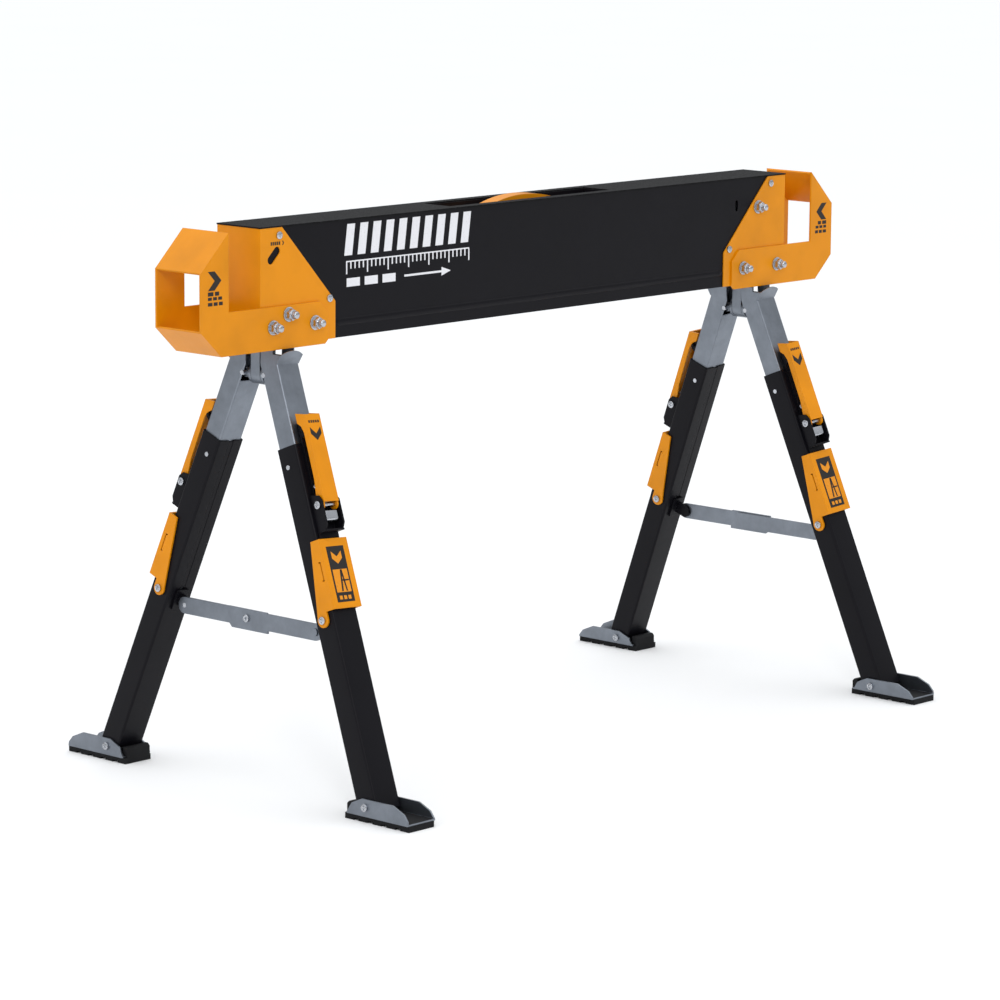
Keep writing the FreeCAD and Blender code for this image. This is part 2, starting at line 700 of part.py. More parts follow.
def slide_tube():
    """Black outer tube sliding on the inner one; its foot end is cut level with the floor."""
    half_w = SLIDE_W / 2
    half_d = SLIDE_D / 2
    tube = bar(half_w, half_d, 0, SLIDE_TOP, SLIDE_CORNER)
    bore_w = INNER_W / 2 + SLIDE_GAP
    bore_d = INNER_D / 2 + SLIDE_GAP
    tube = tube.cut(bar(bore_w, bore_d, -1, SLIDE_TOP + 1, SLIDE_CORNER - TUBE_WALL))
    slot = box(-STUD_HALF - SIDE_GAP, STUD_HALF + SIDE_GAP, 0, half_d + 1,
               BRACE_W - STUD_HALF - SIDE_GAP, SLIDE_TOP + 1)
    tube = tube.cut(slot)
    for swing in (-FOOT_SWING, 0, FOOT_SWING):
        tube = tube.cut(web_clearance(swing))
    tube = tube.cut(rod(0, 0, FOOT_PIN_W, "x", FOOT_PIN_R, -50, 50))
    return tube.cut(rod(0, 0, SUPPORT_PIN_W, "x", SUPPORT_PIN_R, -50, 50))


def web_clearance(swing):
    """Space under the leg that the web of the foot needs at one swing angle."""
    level = (PAD_THICK + SHOE_SHEET + WEB_GAP) / math.cos(RAKE)
    space = leg_box(-60, 60, -400, 0, -PIN_PATH - 90, -PIN_PATH + level)
    return turned(space, Vector(1, 0, 0), swing, Vector(0, 0, FOOT_PIN_W))


def brace_tab(ear_u, pin_end):
    """Tab screwed through the slot to the inner tube, with an ear and a pin for the brace."""
    face = SLIDE_D / 2 + TAB_GAP
    back = face + TAB_SHEET
    tip = brace_pin_y()
    plate = box(-TAB_HALF_W, TAB_HALF_W, face, back, BRACE_W - TAB_HALF_H, BRACE_W + TAB_HALF_H)
    stud = box(-STUD_HALF, STUD_HALF, INNER_D / 2 - TUBE_WALL, face, BRACE_W - STUD_HALF, BRACE_W + STUD_HALF)
    ear = box(ear_u, ear_u + BRACE_BAR_T, back, tip, BRACE_W - TAB_EAR_R, BRACE_W + TAB_EAR_R)
    eye = rod(0, tip, BRACE_W, "x", TAB_EAR_R, ear_u, ear_u + BRACE_BAR_T)
    pin = rod(0, tip, BRACE_W, "x", BRACE_PIN_R, ear_u, pin_end)
    screw = rod(0, 0, BRACE_W, "y", TAB_SCREW_R, back, back + TAB_SCREW_T)
    return fuse([plate, stud, ear, eye, pin, screw])


def brace_tab_front():
    """Tab of the front leg: its ear lies in the plane of the back bar and its pin has a head."""
    end = FRONT_BAR_U - BAR_GAP
    head = rod(0, brace_pin_y(), BRACE_W, "x", BRACE_PIN_R + PIN_HEAD_T, end - PIN_HEAD_T, end)
    return fuse([brace_tab(BACK_BAR_U, end), head])


def brace_tab_back():
    """Tab of the back leg, drawn in leg coordinates; its ear takes the back bar."""
    bar_u = -BACK_BAR_U - BRACE_BAR_T
    return brace_tab(bar_u - BAR_GAP - BRACE_BAR_T, bar_u + BRACE_BAR_T + BAR_GAP / 2)


def brace_pin_y():
    """Depth of the brace pin behind the leg axis in leg coordinates."""
    return SLIDE_D / 2 + TAB_GAP + TAB_SHEET + BRACE_STANDOFF


def brace_pin_in_pair():
    """Brace pin of the front leg in the upright pair frame."""
    y = brace_pin_y()
    z = BRACE_W - LEG_W0
    return (y * math.cos(SPLAY) + z * math.sin(SPLAY) - AXIS_OFFSET,
            -y * math.sin(SPLAY) + z * math.cos(SPLAY))


def brace_front_link():
    """Front half of the brace with the wide centre plate, in the upright pair frame."""
    y0, z0 = brace_pin_in_pair()
    u0 = FRONT_BAR_U
    half = BRACE_BAR_H / 2
    bar = box(u0, u0 + BRACE_BAR_T, y0, -20, z0 - half, z0 + half)
    eye = rod(0, y0, z0, "x", half, u0, u0 + BRACE_BAR_T)
    centre = plate_yz([(y, z0 + z) for y, z in CENTRE_PLATE], u0, u0 + BRACE_BAR_T)
    rivet = rod(0, CENTRE_RIVET_Y, z0, "x", CENTRE_RIVET_R, u0 - CENTRE_RIVET_T, u0)
    link = fuse([bar, eye, centre, rivet])
    return link.cut(rod(0, y0, z0, "x", BRACE_PIN_R + PIN_GAP, -50, 50))


def brace_back_link():
    """Back half of the brace, lying behind the centre plate, in the upright pair frame."""
    y0, z0 = brace_pin_in_pair()
    u0 = BACK_BAR_U
    half = BRACE_BAR_H / 2
    bar = box(u0, u0 + BRACE_BAR_T, -20, -y0, z0 - half, z0 + half)
    eye = rod(0, -y0, z0, "x", half, u0, u0 + BRACE_BAR_T)
    link = fuse([bar, eye])
    return link.cut(rod(0, -y0, z0, "x", BRACE_PIN_R + PIN_GAP, -50, 50))


def lock_housing():
    """Bracket on the outer face: latch ears at the top, clevis cheeks at the bottom."""
    face = -SLIDE_D / 2
    plate = face - HOUSING_SHEET
    base = box(-HOUSING_HALF, HOUSING_HALF, plate, face, HOUSING_LOW, LATCH_W + 10)
    foot = box(-CLEVIS_HALF, CLEVIS_HALF, plate, face, HOUSING_LOW, CLEVIS_TOP)
    corner_y, corner_z = -CLEVIS_CORNER[0], CLEVIS_CORNER[1]
    cheek = [(plate, CLEVIS_LOW), (plate, CLEVIS_TOP), (corner_y, CLEVIS_TOP - corner_z / 2),
             (-CLEVIS_FRONT, CLEVIS_TOP - 1.5 * corner_z), (-CLEVIS_FRONT, CLEVIS_LOW + corner_z),
             (corner_y, CLEVIS_LOW)]
    tip = -LATCH_O - LATCH_R - 1.1
    ear = [(plate, LATCH_W - 9), (plate, LATCH_W + 8), (tip, LATCH_W + 4), (tip, LATCH_W - 4)]
    parts = [base, foot]
    for side in (-1, 1):
        parts.append(plate_yz(cheek, side * (CLEVIS_HALF - CLEVIS_SHEET), side * CLEVIS_HALF))
        parts.append(plate_yz(ear, side * (HOUSING_HALF - CLEVIS_SHEET), side * HOUSING_HALF))
    parts.append(box(-CLEVIS_HALF, CLEVIS_HALF, plate, corner_y - 1, CLEVIS_LOW - CLEVIS_SHEET, CLEVIS_LOW))
    parts.append(rod(0, -LATCH_O, LATCH_W, "x", LATCH_R, -LEVER_HALF, LEVER_HALF))
    body = fuse(parts)
    return body.cut(rod(0, -CLEVIS_PIN_O, CLEVIS_PIN_W, "x", LEVER_PIN_R, -50, 50))


def lever():
    """Height lever: folded channel with hooked ends at the latch, hinged at the clevis."""
    face = -LEVER_FACE
    inner = face + LEVER_SHEET
    front = box(-LEVER_HALF, LEVER_HALF, face, inner, CLEVIS_PIN_W + 2.0, LEVER_TOP)
    parts = [front]
    for side in (-1, 1):
        flange = [(face, CLEVIS_PIN_W + 2.0), (face, LEVER_TOP), (-19.0, LEVER_TOP + 4.5), (-18.8, LEVER_TOP - 7.0),
                  (-24.0, LEVER_TOP - 12.0), (-26.5, LEVER_TOP - 20.0), (-26.0, CLEVIS_PIN_W + 30.0),
                  (-22.0, CLEVIS_PIN_W + 4.0), (-22.0, CLEVIS_PIN_W - 2.0)]
        u0 = side * (LEVER_HALF - LEVER_SHEET)
        parts.append(plate_yz(flange, u0, side * LEVER_HALF))
        parts.append(rod(0, -CLEVIS_PIN_O, CLEVIS_PIN_W, "x", 6.5, u0, side * LEVER_HALF))
    body = fuse(parts)
    return body.cut(rod(0, -CLEVIS_PIN_O, CLEVIS_PIN_W, "x", LEVER_PIN_R + PIN_GAP, -50, 50))


def support_bracket():
    """Folded channel over the leg, pivoting on the two side screws."""
    half = SIDE_SEAT
    face = -SUPPORT_FACE
    front = box(-half - SUPPORT_SHEET, half + SUPPORT_SHEET, face, face + SUPPORT_SHEET, SUPPORT_LOW, SUPPORT_TOP)
    parts = [front]
    for side in (-1, 1):
        flange = [(face, SUPPORT_LOW), (face, SUPPORT_TOP), (-8.0, SUPPORT_TOP), (6.0, SUPPORT_LOW + 4),
                  (SUPPORT_LOBE_R, SUPPORT_PIN_W), (-SUPPORT_LOBE_R, SUPPORT_PIN_W), (-SUPPORT_LOBE_R, SUPPORT_LOW)]
        parts.append(plate_yz(flange, side * half, side * (half + SUPPORT_SHEET)))
        parts.append(rod(0, 0, SUPPORT_PIN_W, "x", SUPPORT_LOBE_R, side * half, side * (half + SUPPORT_SHEET)))
    body = fuse(parts)
    body = body.cut(rod(0, 0, SUPPORT_PIN_W, "x", SUPPORT_PIN_R + PIN_GAP, -50, 50))
    for side in (-1, 1):
        body = body.cut(side_slot(side, half))
    return body


def side_slot(side, half):
    """Bracket-shaped slot in one flange."""
    out = side * (half + SUPPORT_SHEET + 1)
    inner = side * (half - 0.3)
    upright = box(inner, out, -16.8, -15.2, 280, 303)
    low = box(inner, out, -16.8, -13.4, 280, 281.6)
    high = box(inner, out, -16.8, -13.4, 301.4, 303)
    return upright.fuse([low, high])


def leg_screws():
    """Screws and rivets fixed to the outer tube: clevis, support, foot and stop rivets."""
    solids = []
    for side in (-1, 1):
        seat = SIDE_SEAT + SUPPORT_SHEET + HEAD_GAP
        shank = rod(0, 0, SUPPORT_PIN_W, "x", SUPPORT_PIN_R, side * (INNER_W / 2 + SLIDE_GAP), side * seat)
        head = rod(0, 0, SUPPORT_PIN_W, "x", SCREW_HEAD_R, side * seat, side * (seat + SCREW_HEAD_T))
        solids.append(fuse([shank, head]))
        rivet = rod(0, 3, SLIDE_TOP - 23.5, "x", 2.8, side * SLIDE_W / 2, side * (SLIDE_W / 2 + 0.9))
        solids.append(rivet)
    solids.append(cross_screw(-CLEVIS_PIN_O, CLEVIS_PIN_W, LEVER_PIN_R, CLEVIS_HALF))
    solids.append(cross_screw(0, FOOT_PIN_W, FOOT_PIN_R, SIDE_SEAT + SHOE_SHEET + HEAD_GAP))
    return Part.makeCompound(solids)


def cross_screw(y, z, radius, seat):
    """Screw right across a leg with a head at each end."""
    parts = [rod(0, y, z, "x", radius, -seat, seat)]
    for side in (-1, 1):
        parts.append(rod(0, y, z, "x", SCREW_HEAD_R, side * seat, side * (seat + SCREW_HEAD_T)))
    return fuse(parts)


# ---- feet ------------------------------------------------------------------------------
def foot_centre_x():
    """X of the left legs at the floor."""
    return -PAIR_X - FOLD_HEIGHT * math.tan(RAKE)


SHOE_OUTER = 0.8 - PAD_CENTRE - PAD_LENGTH / 2
SHOE_INNER = -3.7 - PAD_CENTRE + PAD_LENGTH / 2


def shoe():
    """Left front shoe: raked flanges on a flat web."""
    half = SIDE_SEAT
    low = PAD_THICK
    outline = [(SHOE_OUTER, low), (SHOE_OUTER + 0.5, 11.0), (SHOE_OUTER + 7.0, 18.5),
               (SHOE_OUTER + 25.0, SHOE_HEIGHT), (SHOE_INNER - 23.5, SHOE_HEIGHT), (SHOE_INNER - 7.5, 19.0),
               (SHOE_INNER, low)]
    flanges = []
    for side in (-1, 1):
        plate = plate_yz(outline, side * half, side * (half + SHOE_SHEET))
        flanges.append(rake_plate(plate))
    web = box(-half - SHOE_SHEET, half + SHOE_SHEET, SHOE_OUTER, SHOE_INNER, low, low + SHOE_SHEET)
    web = moved(web, foot_centre_x() + (low + 1) * math.tan(RAKE), 0, 0)
    trim = box(-900, 900, -400, 0, low, 200)
    body = fuse([web] + flanges).common(trim)
    return body.cut(foot_hole())


def rake_plate(plate):
    """Lean a plate like the leg about the floor line."""
    return moved(turned(plate, Vector(0, 1, 0), RAKE_DEG), foot_centre_x(), 0, 0)


def foot_hole():
    """Hole on the foot screw with running clearance, in world coordinates."""
    hole = rod(0, 0, FOOT_PIN_W, "x", FOOT_PIN_R + PIN_GAP, -60, 60)
    return leg_to_world(hole, "left", "front")


def pad():
    """Left front rubber pad with cross grooves under it."""
    x = foot_centre_x()
    start = -PAD_CENTRE - PAD_LENGTH / 2
    body = box(x - PAD_WIDTH / 2, x + PAD_WIDTH / 2, start, start + PAD_LENGTH, 0, PAD_THICK)
    pitch = (PAD_LENGTH + LUG_GROOVE) / LUG_COUNT
    for gap in range(1, LUG_COUNT):
        y = start + gap * pitch - LUG_GROOVE
        groove = box(x - PAD_WIDTH, x + PAD_WIDTH, y, y + LUG_GROOVE, -1, LUG_DEPTH)
        body = body.cut(groove)
    inner = start + PAD_LENGTH
    half = SLIDE_W / 2 - 1.5
    heel = [(inner, 0), (inner, HEEL_HEIGHT - 3), (inner - 3, HEEL_HEIGHT), (inner - HEEL_LENGTH, HEEL_HEIGHT),
            (inner - HEEL_LENGTH, PAD_THICK + SHOE_SHEET + 0.2), (inner - 3.4, PAD_THICK + SHOE_SHEET + 0.2),
            (inner - 3.4, 0)]
    return fuse([body, plate_yz(heel, x - half + 1.0, x + half + 1.0)])


def corner(shape, side, row):
    """Place a piece drawn at the left front corner at another corner."""
    if (side, row) == ("left", "front"):
        return shape
    if (side, row) == ("right", "back"):
        return opposite(shape)
    flipped = shape.mirror(Vector(0, 0, 0), Vector(0, 1, 0))
    return flipped if side == "left" else opposite(flipped)


# ---- build ---------------------------------------------------------------------------------
def build_beam():
    """Pieces fixed to the beam, and the handle."""
    save("beam_channel", beam_channel())
    save("grip_plate", grip_plate())
    save("end_cap_left", end_cap().cut(bolt_holes()))
    save("end_cap_right", opposite(end_cap()).cut(bolt_holes()))
    save("arm_left", arm().cut(bolt_holes()))
    save("arm_right", opposite(arm()).cut(bolt_holes()))
    save("cap_screws", cap_screws())
    save("arm_bolts", arm_bolts())
    save("hanger_bolts", hanger_bolts())
    save("washers", washers())
    save("nuts", nuts())
    left_bolt, right_bolt = hanger_bolt_places()
    save("hanger_left", hanger(*left_bolt, -PAIR_X))
    save("hanger_right", hanger(*right_bolt, PAIR_X))
    save("handle_tray", handle_tray())
    save("carry_handle", carry_handle())


def build_pairs():
    """Yokes, hinge pins and braces of the two leg pairs."""
    for side in ("left", "right"):
        save("yoke_" + side, pair_to_world(yoke(), side))
        save("splay_pins_" + side, pair_to_world(splay_pins(), side))
        first = "front" if side == "left" else "back"
        second = "back" if side == "left" else "front"
        save("brace_%s_%s" % (side, first), pair_to_world(brace_front_link(), side))
        save("brace_%s_%s" % (side, second), pair_to_world(brace_back_link(), side))


def build_legs():
    """Pieces of the four legs and feet."""
    drawn = {"leg_tube": inner_tube(), "slide_tube": slide_tube(), "lock_housing": lock_housing(),
             "lever": lever(), "support": support_bracket(), "leg_screws": leg_screws()}
    tabs = {"front": brace_tab_front(), "back": brace_tab_back()}
    for side, row in LEGS:
        base = leg_row(side, row)
        for stem, shape in drawn.items():
            save(leg_name(stem, side, row), leg_to_world(shape, side, base))
        save(leg_name("brace_tab", side, row), leg_to_world(tabs[base], side, base))
        save(leg_name("shoe", side, row), corner(shoe(), side, row))
        save(leg_name("pad", side, row), corner(pad(), side, row))


os.makedirs("parts", exist_ok=True)
build_beam()
build_pairs()
build_legs()
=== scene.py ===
import json
import math

import bmesh
import bpy
import numpy as np
from mathutils import Matrix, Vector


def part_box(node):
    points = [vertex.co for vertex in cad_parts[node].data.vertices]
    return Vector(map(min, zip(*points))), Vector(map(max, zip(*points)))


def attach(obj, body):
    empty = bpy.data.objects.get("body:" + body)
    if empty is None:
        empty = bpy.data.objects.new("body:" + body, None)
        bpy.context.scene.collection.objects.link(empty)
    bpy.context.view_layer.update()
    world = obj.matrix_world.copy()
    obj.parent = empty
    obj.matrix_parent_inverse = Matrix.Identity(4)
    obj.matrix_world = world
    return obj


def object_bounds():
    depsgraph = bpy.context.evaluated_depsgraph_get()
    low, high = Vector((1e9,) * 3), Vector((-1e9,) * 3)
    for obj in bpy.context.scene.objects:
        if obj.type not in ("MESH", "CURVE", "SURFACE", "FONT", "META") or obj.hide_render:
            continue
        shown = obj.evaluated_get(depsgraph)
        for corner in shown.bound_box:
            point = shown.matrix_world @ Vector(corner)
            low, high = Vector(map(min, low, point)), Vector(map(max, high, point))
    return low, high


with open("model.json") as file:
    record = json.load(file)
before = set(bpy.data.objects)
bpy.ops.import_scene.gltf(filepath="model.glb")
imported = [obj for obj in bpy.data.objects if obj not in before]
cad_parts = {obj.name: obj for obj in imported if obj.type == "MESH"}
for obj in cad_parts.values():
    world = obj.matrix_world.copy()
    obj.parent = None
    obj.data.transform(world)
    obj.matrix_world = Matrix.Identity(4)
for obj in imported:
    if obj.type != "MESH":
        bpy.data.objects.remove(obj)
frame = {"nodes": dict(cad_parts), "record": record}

bl_info = {
    "name": "Folding Sawhorse",
    "version": (1, 0, 0),
    "blender": (4, 5, 0),
    "location": "3D View > Sidebar > Sawhorse",
    "description": "Finishes a folding steel sawhorse and its studio",
    "category": "Object",
}

MM = 0.001
CAD_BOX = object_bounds()
JOINTS = {joint["name"]: joint for joint in frame["record"]["behaviour"]["joints"]}
CORNERS = ("left_front", "left_back", "right_front", "right_back")

# Sizes of a leg in millimetres, shared with the CAD legs: heights up it, distances outward from its axis
# and half widths of its outer tube.
FOOT_SCREW_UP = 17.5
SUPPORT_SCREW_UP = 237.5
LEVER_SCREW_UP = 367.5
LEVER_SCREW_OUT = 26.0
LEVER_FACE_OUT = 34.0
SUPPORT_FACE_OUT = 22.0
SLIDE_HALF_WIDTH = 19.7
SLIDE_HALF_DEPTH = 15.6
SHOE_WEB_TOP = 12.0           # above the floor, over the highest point of a shoe's web
BRACE_PIN_REACH = 4.8         # round the axis of a brace pin, just over the radius of its head
SHEET_EDGE_RADIUS = 0.7       # that the materials draw on every edge
WELD_DISTANCE = 0.002


# ---------------------------------------------------------------- settings
class SawhorseColours(bpy.types.PropertyGroup):
    """Colours of the finishes, as sRGB hex text."""

    yellow: bpy.props.StringProperty(
        name="Yellow", description="Powder coat of arms and levers", default="#E08C00")
    black: bpy.props.StringProperty(
        name="Black", description="Powder coat of beam and slides", default="#0F0E13")
    grit: bpy.props.StringProperty(name="Grit", description="Non-slip coating of the top", default="#0B0B0D")
    zinc: bpy.props.StringProperty(
        name="Zinc", description="Zinc plate of legs and braces", default="#8A9099")
    bright: bpy.props.StringProperty(name="Bright", description="Zinc plate of fasteners", default="#C6C9CF")
    rubber: bpy.props.StringProperty(name="Rubber", description="Foot pads", default="#0E0E10")
    white_ink: bpy.props.StringProperty(name="White ink", description="Print on the beam", default="#E2E2E6")
    black_ink: bpy.props.StringProperty(
        name="Black ink", description="Print on yellow parts", default="#17120E")
    floor: bpy.props.StringProperty(name="Floor", description="Studio floor", default="#F2F2F2")


class SawhorseDetails(bpy.types.PropertyGroup):
    """Sizes of the added details."""

    thread_pitch: bpy.props.FloatProperty(
        name="Thread pitch", description="Pitch of the bolt threads", default=1.25 * MM, unit="LENGTH")
    bolt_radius: bpy.props.FloatProperty(
        name="Bolt radius", description="Outer radius of the bolt threads", default=4.25 * MM, unit="LENGTH")
    screw_radius: bpy.props.FloatProperty(
        name="Screw head radius", description="Radius of the leg screw heads",
        default=4.6 * MM, unit="LENGTH")
    print_lift: bpy.props.FloatProperty(
        name="Print thickness", description="How far the print stands proud",
        default=0.12 * MM, unit="LENGTH")
    wire_radius: bpy.props.FloatProperty(
        name="Wire radius", description="Radius of the lock's spring wire", default=0.9 * MM, unit="LENGTH")


class SawhorseStudio(bpy.types.PropertyGroup):
    """Camera and lights."""

    azimuth: bpy.props.FloatProperty(
        name="Azimuth", description="Camera direction round the object",
        default=math.radians(-47.154), unit="ROTATION")
    elevation: bpy.props.FloatProperty(
        name="Elevation", description="Camera height above the horizon",
        default=math.radians(9.874), unit="ROTATION")
    roll: bpy.props.FloatProperty(
        name="Roll", description="Camera turn about its view", default=math.radians(0.438), unit="ROTATION")
    place: bpy.props.FloatVectorProperty(
        name="Place", description="Camera position",
        default=(-3.8848, -3.5763, 1.2058), subtype="TRANSLATION")
    lens: bpy.props.FloatProperty(name="Lens", description="Focal length in millimetres", default=154.9)
    world_light: bpy.props.FloatProperty(
        name="World light", description="Strength of the pale room", default=1.0)
    key_light: bpy.props.FloatProperty(
        name="Key light", description="Power of the main softbox in watts", default=42.0)
    fill_light: bpy.props.FloatProperty(
        name="Fill light", description="Power of the fill softbox in watts", default=6.0)
    top_light: bpy.props.FloatProperty(
        name="Top light", description="Power of the overhead softbox", default=16.0)


# ---------------------------------------------------------------- materials
def to_linear(hex_text):
    """Linear colour from sRGB hex text."""
    values = np.array([int(hex_text[i:i + 2], 16) for i in (1, 3, 5)]) / 255.0
    linear = np.where(values <= 0.04045, values / 12.92, ((values + 0.055) / 1.055) ** 2.4)
    return (*linear.tolist(), 1.0)


def scaled(colour, factor):
    """Linear colour made darker or lighter by that factor."""
    return tuple(min(1.0, factor * value) for value in colour[:3]) + (1.0,)


def per_metre(millimetres):
    """Pattern scale on Object coordinates for a feature of that real size."""
    return 1.0 / (millimetres * MM)


def add_node(tree, kind, settings=None, links=None):
    """Adds a node, gives its ramp stops, properties or sockets their settings, and links its inputs."""
    node = tree.nodes.new(kind)
    for name, value in (settings or {}).items():
        if name == "stops":
            for element, (position, colour) in zip(node.color_ramp.elements, value):
                element.position = position
                element.color = colour
        elif isinstance(name, str) and hasattr(node, name):
            setattr(node, name, value)
        else:
            node.inputs[name].default_value = value
    for name, source in (links or {}).items():
        tree.links.new(source, node.inputs[name])
    return node


def new_material(name, hex_text):
    """Empty node material with its tree, its Object coordinates and its linear colour."""
    material = bpy.data.materials.new(name)
    material.use_nodes = True
    base = to_linear(hex_text)
    material.diffuse_color = base
    tree = material.node_tree
    tree.nodes.clear()
    place = add_node(tree, "ShaderNodeTexCoord").outputs["Object"]
    return material, tree, place, base


def powder_coat(name, hex_text, roughness, shine):
    """Baked powder coat on steel: even colour, a faint orange peel and a soft gloss that breaks up a little.

    Its edges are rounded in the shading, so that each catches a thin line of light.
    """
    material, tree, place, base = new_material(name, hex_text)
    cloud = add_node(tree, "ShaderNodeTexNoise", {"Scale": per_metre(60.0), "Detail": 3.0}, {"Vector": place})
    colour = add_node(tree, "ShaderNodeValToRGB", {"stops": ((0.3, scaled(base, 0.86)), (0.6, base))},
                      {"Fac": cloud.outputs["Fac"]})
    # Peel of about 1.6 mm, drawn a little coarser than the real 0.8 mm so that it shows.
    peel = add_node(tree, "ShaderNodeTexNoise", {"Scale": per_metre(1.6), "Detail": 2.0}, {"Vector": place})
    speck = add_node(tree, "ShaderNodeTexNoise", {"Scale": per_metre(9.0), "Detail": 5.0}, {"Vector": place})
    gloss = add_node(tree, "ShaderNodeMapRange", {"To Min": roughness - 0.05, "To Max": roughness + 0.07},
                     {"Value": speck.outputs["Fac"]})
    edge = add_node(tree, "ShaderNodeBevel", {"samples": 6, "Radius": SHEET_EDGE_RADIUS * MM})
    bump = add_node(tree, "ShaderNodeBump", {"Strength": 0.10, "Distance": 0.15 * MM},
                    {"Height": peel.outputs["Fac"], "Normal": edge.outputs["Normal"]})
    shader = add_node(tree, "ShaderNodeBsdfPrincipled", {"Specular IOR Level": shine, "IOR": 1.5},
                      {"Base Color": colour.outputs["Color"], "Roughness": gloss.outputs["Result"],
                       "Normal": bump.outputs["Normal"]})
    add_node(tree, "ShaderNodeOutputMaterial", None, {"Surface": shader.outputs["BSDF"]})
    return material


def grit_coating(hex_text):
    """Coarse non-slip coating: grains of about 2 mm in a matte black binder, a few painted lighter as a
    painted glint of light.
    """
    material, tree, place, base = new_material("non-slip grit coating", hex_text)
    # Grains of 2.2 mm, drawn coarser than the real 1.2 mm so that they show.
    grains = add_node(tree, "ShaderNodeTexVoronoi", {"Scale": per_metre(2.2), "Randomness": 1.0},
                      {"Vector": place})
    heap = add_node(tree, "ShaderNodeTexNoise", {"Scale": per_metre(5.0), "Detail": 6.0}, {"Vector": place})
    # Painted highlight: grains whose random colour runs high get up to four times the base colour, standing
    # in for glints of light.
    painted_glint = add_node(tree, "ShaderNodeValToRGB", {"stops": ((0.55, base), (0.95, scaled(base, 4.0)))},
                     {"Fac": grains.outputs["Color"]})
    height = add_node(tree, "ShaderNodeMath", {"operation": "ADD"},
                      {0: grains.outputs["Distance"], 1: heap.outputs["Fac"]})
    bump = add_node(tree, "ShaderNodeBump", {"Strength": 0.9, "Distance": 0.9 * MM},
                    {"Height": height.outputs["Value"]})
    shader = add_node(tree, "ShaderNodeBsdfPrincipled",
                      {"Roughness": 0.62, "IOR": 1.5, "Specular IOR Level": 0.1},
                      {"Base Color": painted_glint.outputs["Color"], "Normal": bump.outputs["Normal"]})
    add_node(tree, "ShaderNodeOutputMaterial", None, {"Surface": shader.outputs["BSDF"]})
    return material


def zinc_plate(name, hex_text, roughness, grain_mm):
    """Electroplated zinc on rolled steel: cool grey metal with fine rolling grain and cloudy patches."""
    material, tree, place, base = new_material(name, hex_text)
    cloud = add_node(tree, "ShaderNodeTexNoise", {"Scale": per_metre(26.0), "Detail": 5.0, "Roughness": 0.65},
                     {"Vector": place})
    colour = add_node(tree, "ShaderNodeValToRGB", {"stops": ((0.25, scaled(base, 0.72)), (0.75, base))},
                      {"Fac": cloud.outputs["Fac"]})
    # The grain is drawn out upwards, as the sheet was rolled along the tubes.
    stretch = add_node(tree, "ShaderNodeMapping", {"Scale": (1.0, 1.0, 0.12)}, {"Vector": place})
    grain = add_node(tree, "ShaderNodeTexNoise", {"Scale": per_metre(grain_mm), "Detail": 4.0},
                     {"Vector": stretch.outputs["Vector"]})
    gloss = add_node(tree, "ShaderNodeMapRange", {"To Min": roughness - 0.09, "To Max": roughness + 0.09},
                     {"Value": grain.outputs["Fac"]})
    edge = add_node(tree, "ShaderNodeBevel", {"samples": 6, "Radius": SHEET_EDGE_RADIUS * MM})
    bump = add_node(tree, "ShaderNodeBump", {"Strength": 0.12, "Distance": 0.1 * MM},
                    {"Height": grain.outputs["Fac"], "Normal": edge.outputs["Normal"]})
    shader = add_node(tree, "ShaderNodeBsdfPrincipled", {"Metallic": 1.0},
                      {"Base Color": colour.outputs["Color"], "Roughness": gloss.outputs["Result"],
                       "Normal": bump.outputs["Normal"]})
    add_node(tree, "ShaderNodeOutputMaterial", None, {"Surface": shader.outputs["BSDF"]})
    return material


def moulded_rubber(hex_text):
    """Moulded rubber: dull black with a fine eroded mould texture and a dusty sheen."""
    material, tree, place, base = new_material("moulded rubber", hex_text)
    dust = add_node(tree, "ShaderNodeTexNoise", {"Scale": per_metre(14.0), "Detail": 6.0}, {"Vector": place})
    colour = add_node(tree, "ShaderNodeValToRGB", {"stops": ((0.35, base), (0.8, scaled(base, 2.0)))},
                      {"Fac": dust.outputs["Fac"]})
    pits = add_node(tree, "ShaderNodeTexNoise", {"Scale": per_metre(0.9), "Detail": 3.0}, {"Vector": place})
    bump = add_node(tree, "ShaderNodeBump", {"Strength": 0.25, "Distance": 0.2 * MM},
                    {"Height": pits.outputs["Fac"]})
    shader = add_node(tree, "ShaderNodeBsdfPrincipled",
                      {"Roughness": 0.68, "IOR": 1.52, "Specular IOR Level": 0.2},
                      {"Base Color": colour.outputs["Color"], "Normal": bump.outputs["Normal"]})
    add_node(tree, "ShaderNodeOutputMaterial", None, {"Surface": shader.outputs["BSDF"]})
    return material


def screen_ink(name, hex_text):
    """Screen-printed ink: even colour that thins in small specks, with a slightly dull skin."""
    material, tree, place, base = new_material(name, hex_text)
    specks = add_node(tree, "ShaderNodeTexNoise", {"Scale": per_metre(1.8), "Detail": 4.0}, {"Vector": place})
    colour = add_node(tree, "ShaderNodeValToRGB", {"stops": ((0.28, scaled(base, 0.8)), (0.42, base))},
                      {"Fac": specks.outputs["Fac"]})
    shader = add_node(tree, "ShaderNodeBsdfPrincipled", {"Roughness": 0.5, "IOR": 1.45},
                      {"Base Color": colour.outputs["Color"]})
    add_node(tree, "ShaderNodeOutputMaterial", None, {"Surface": shader.outputs["BSDF"]})
    return material


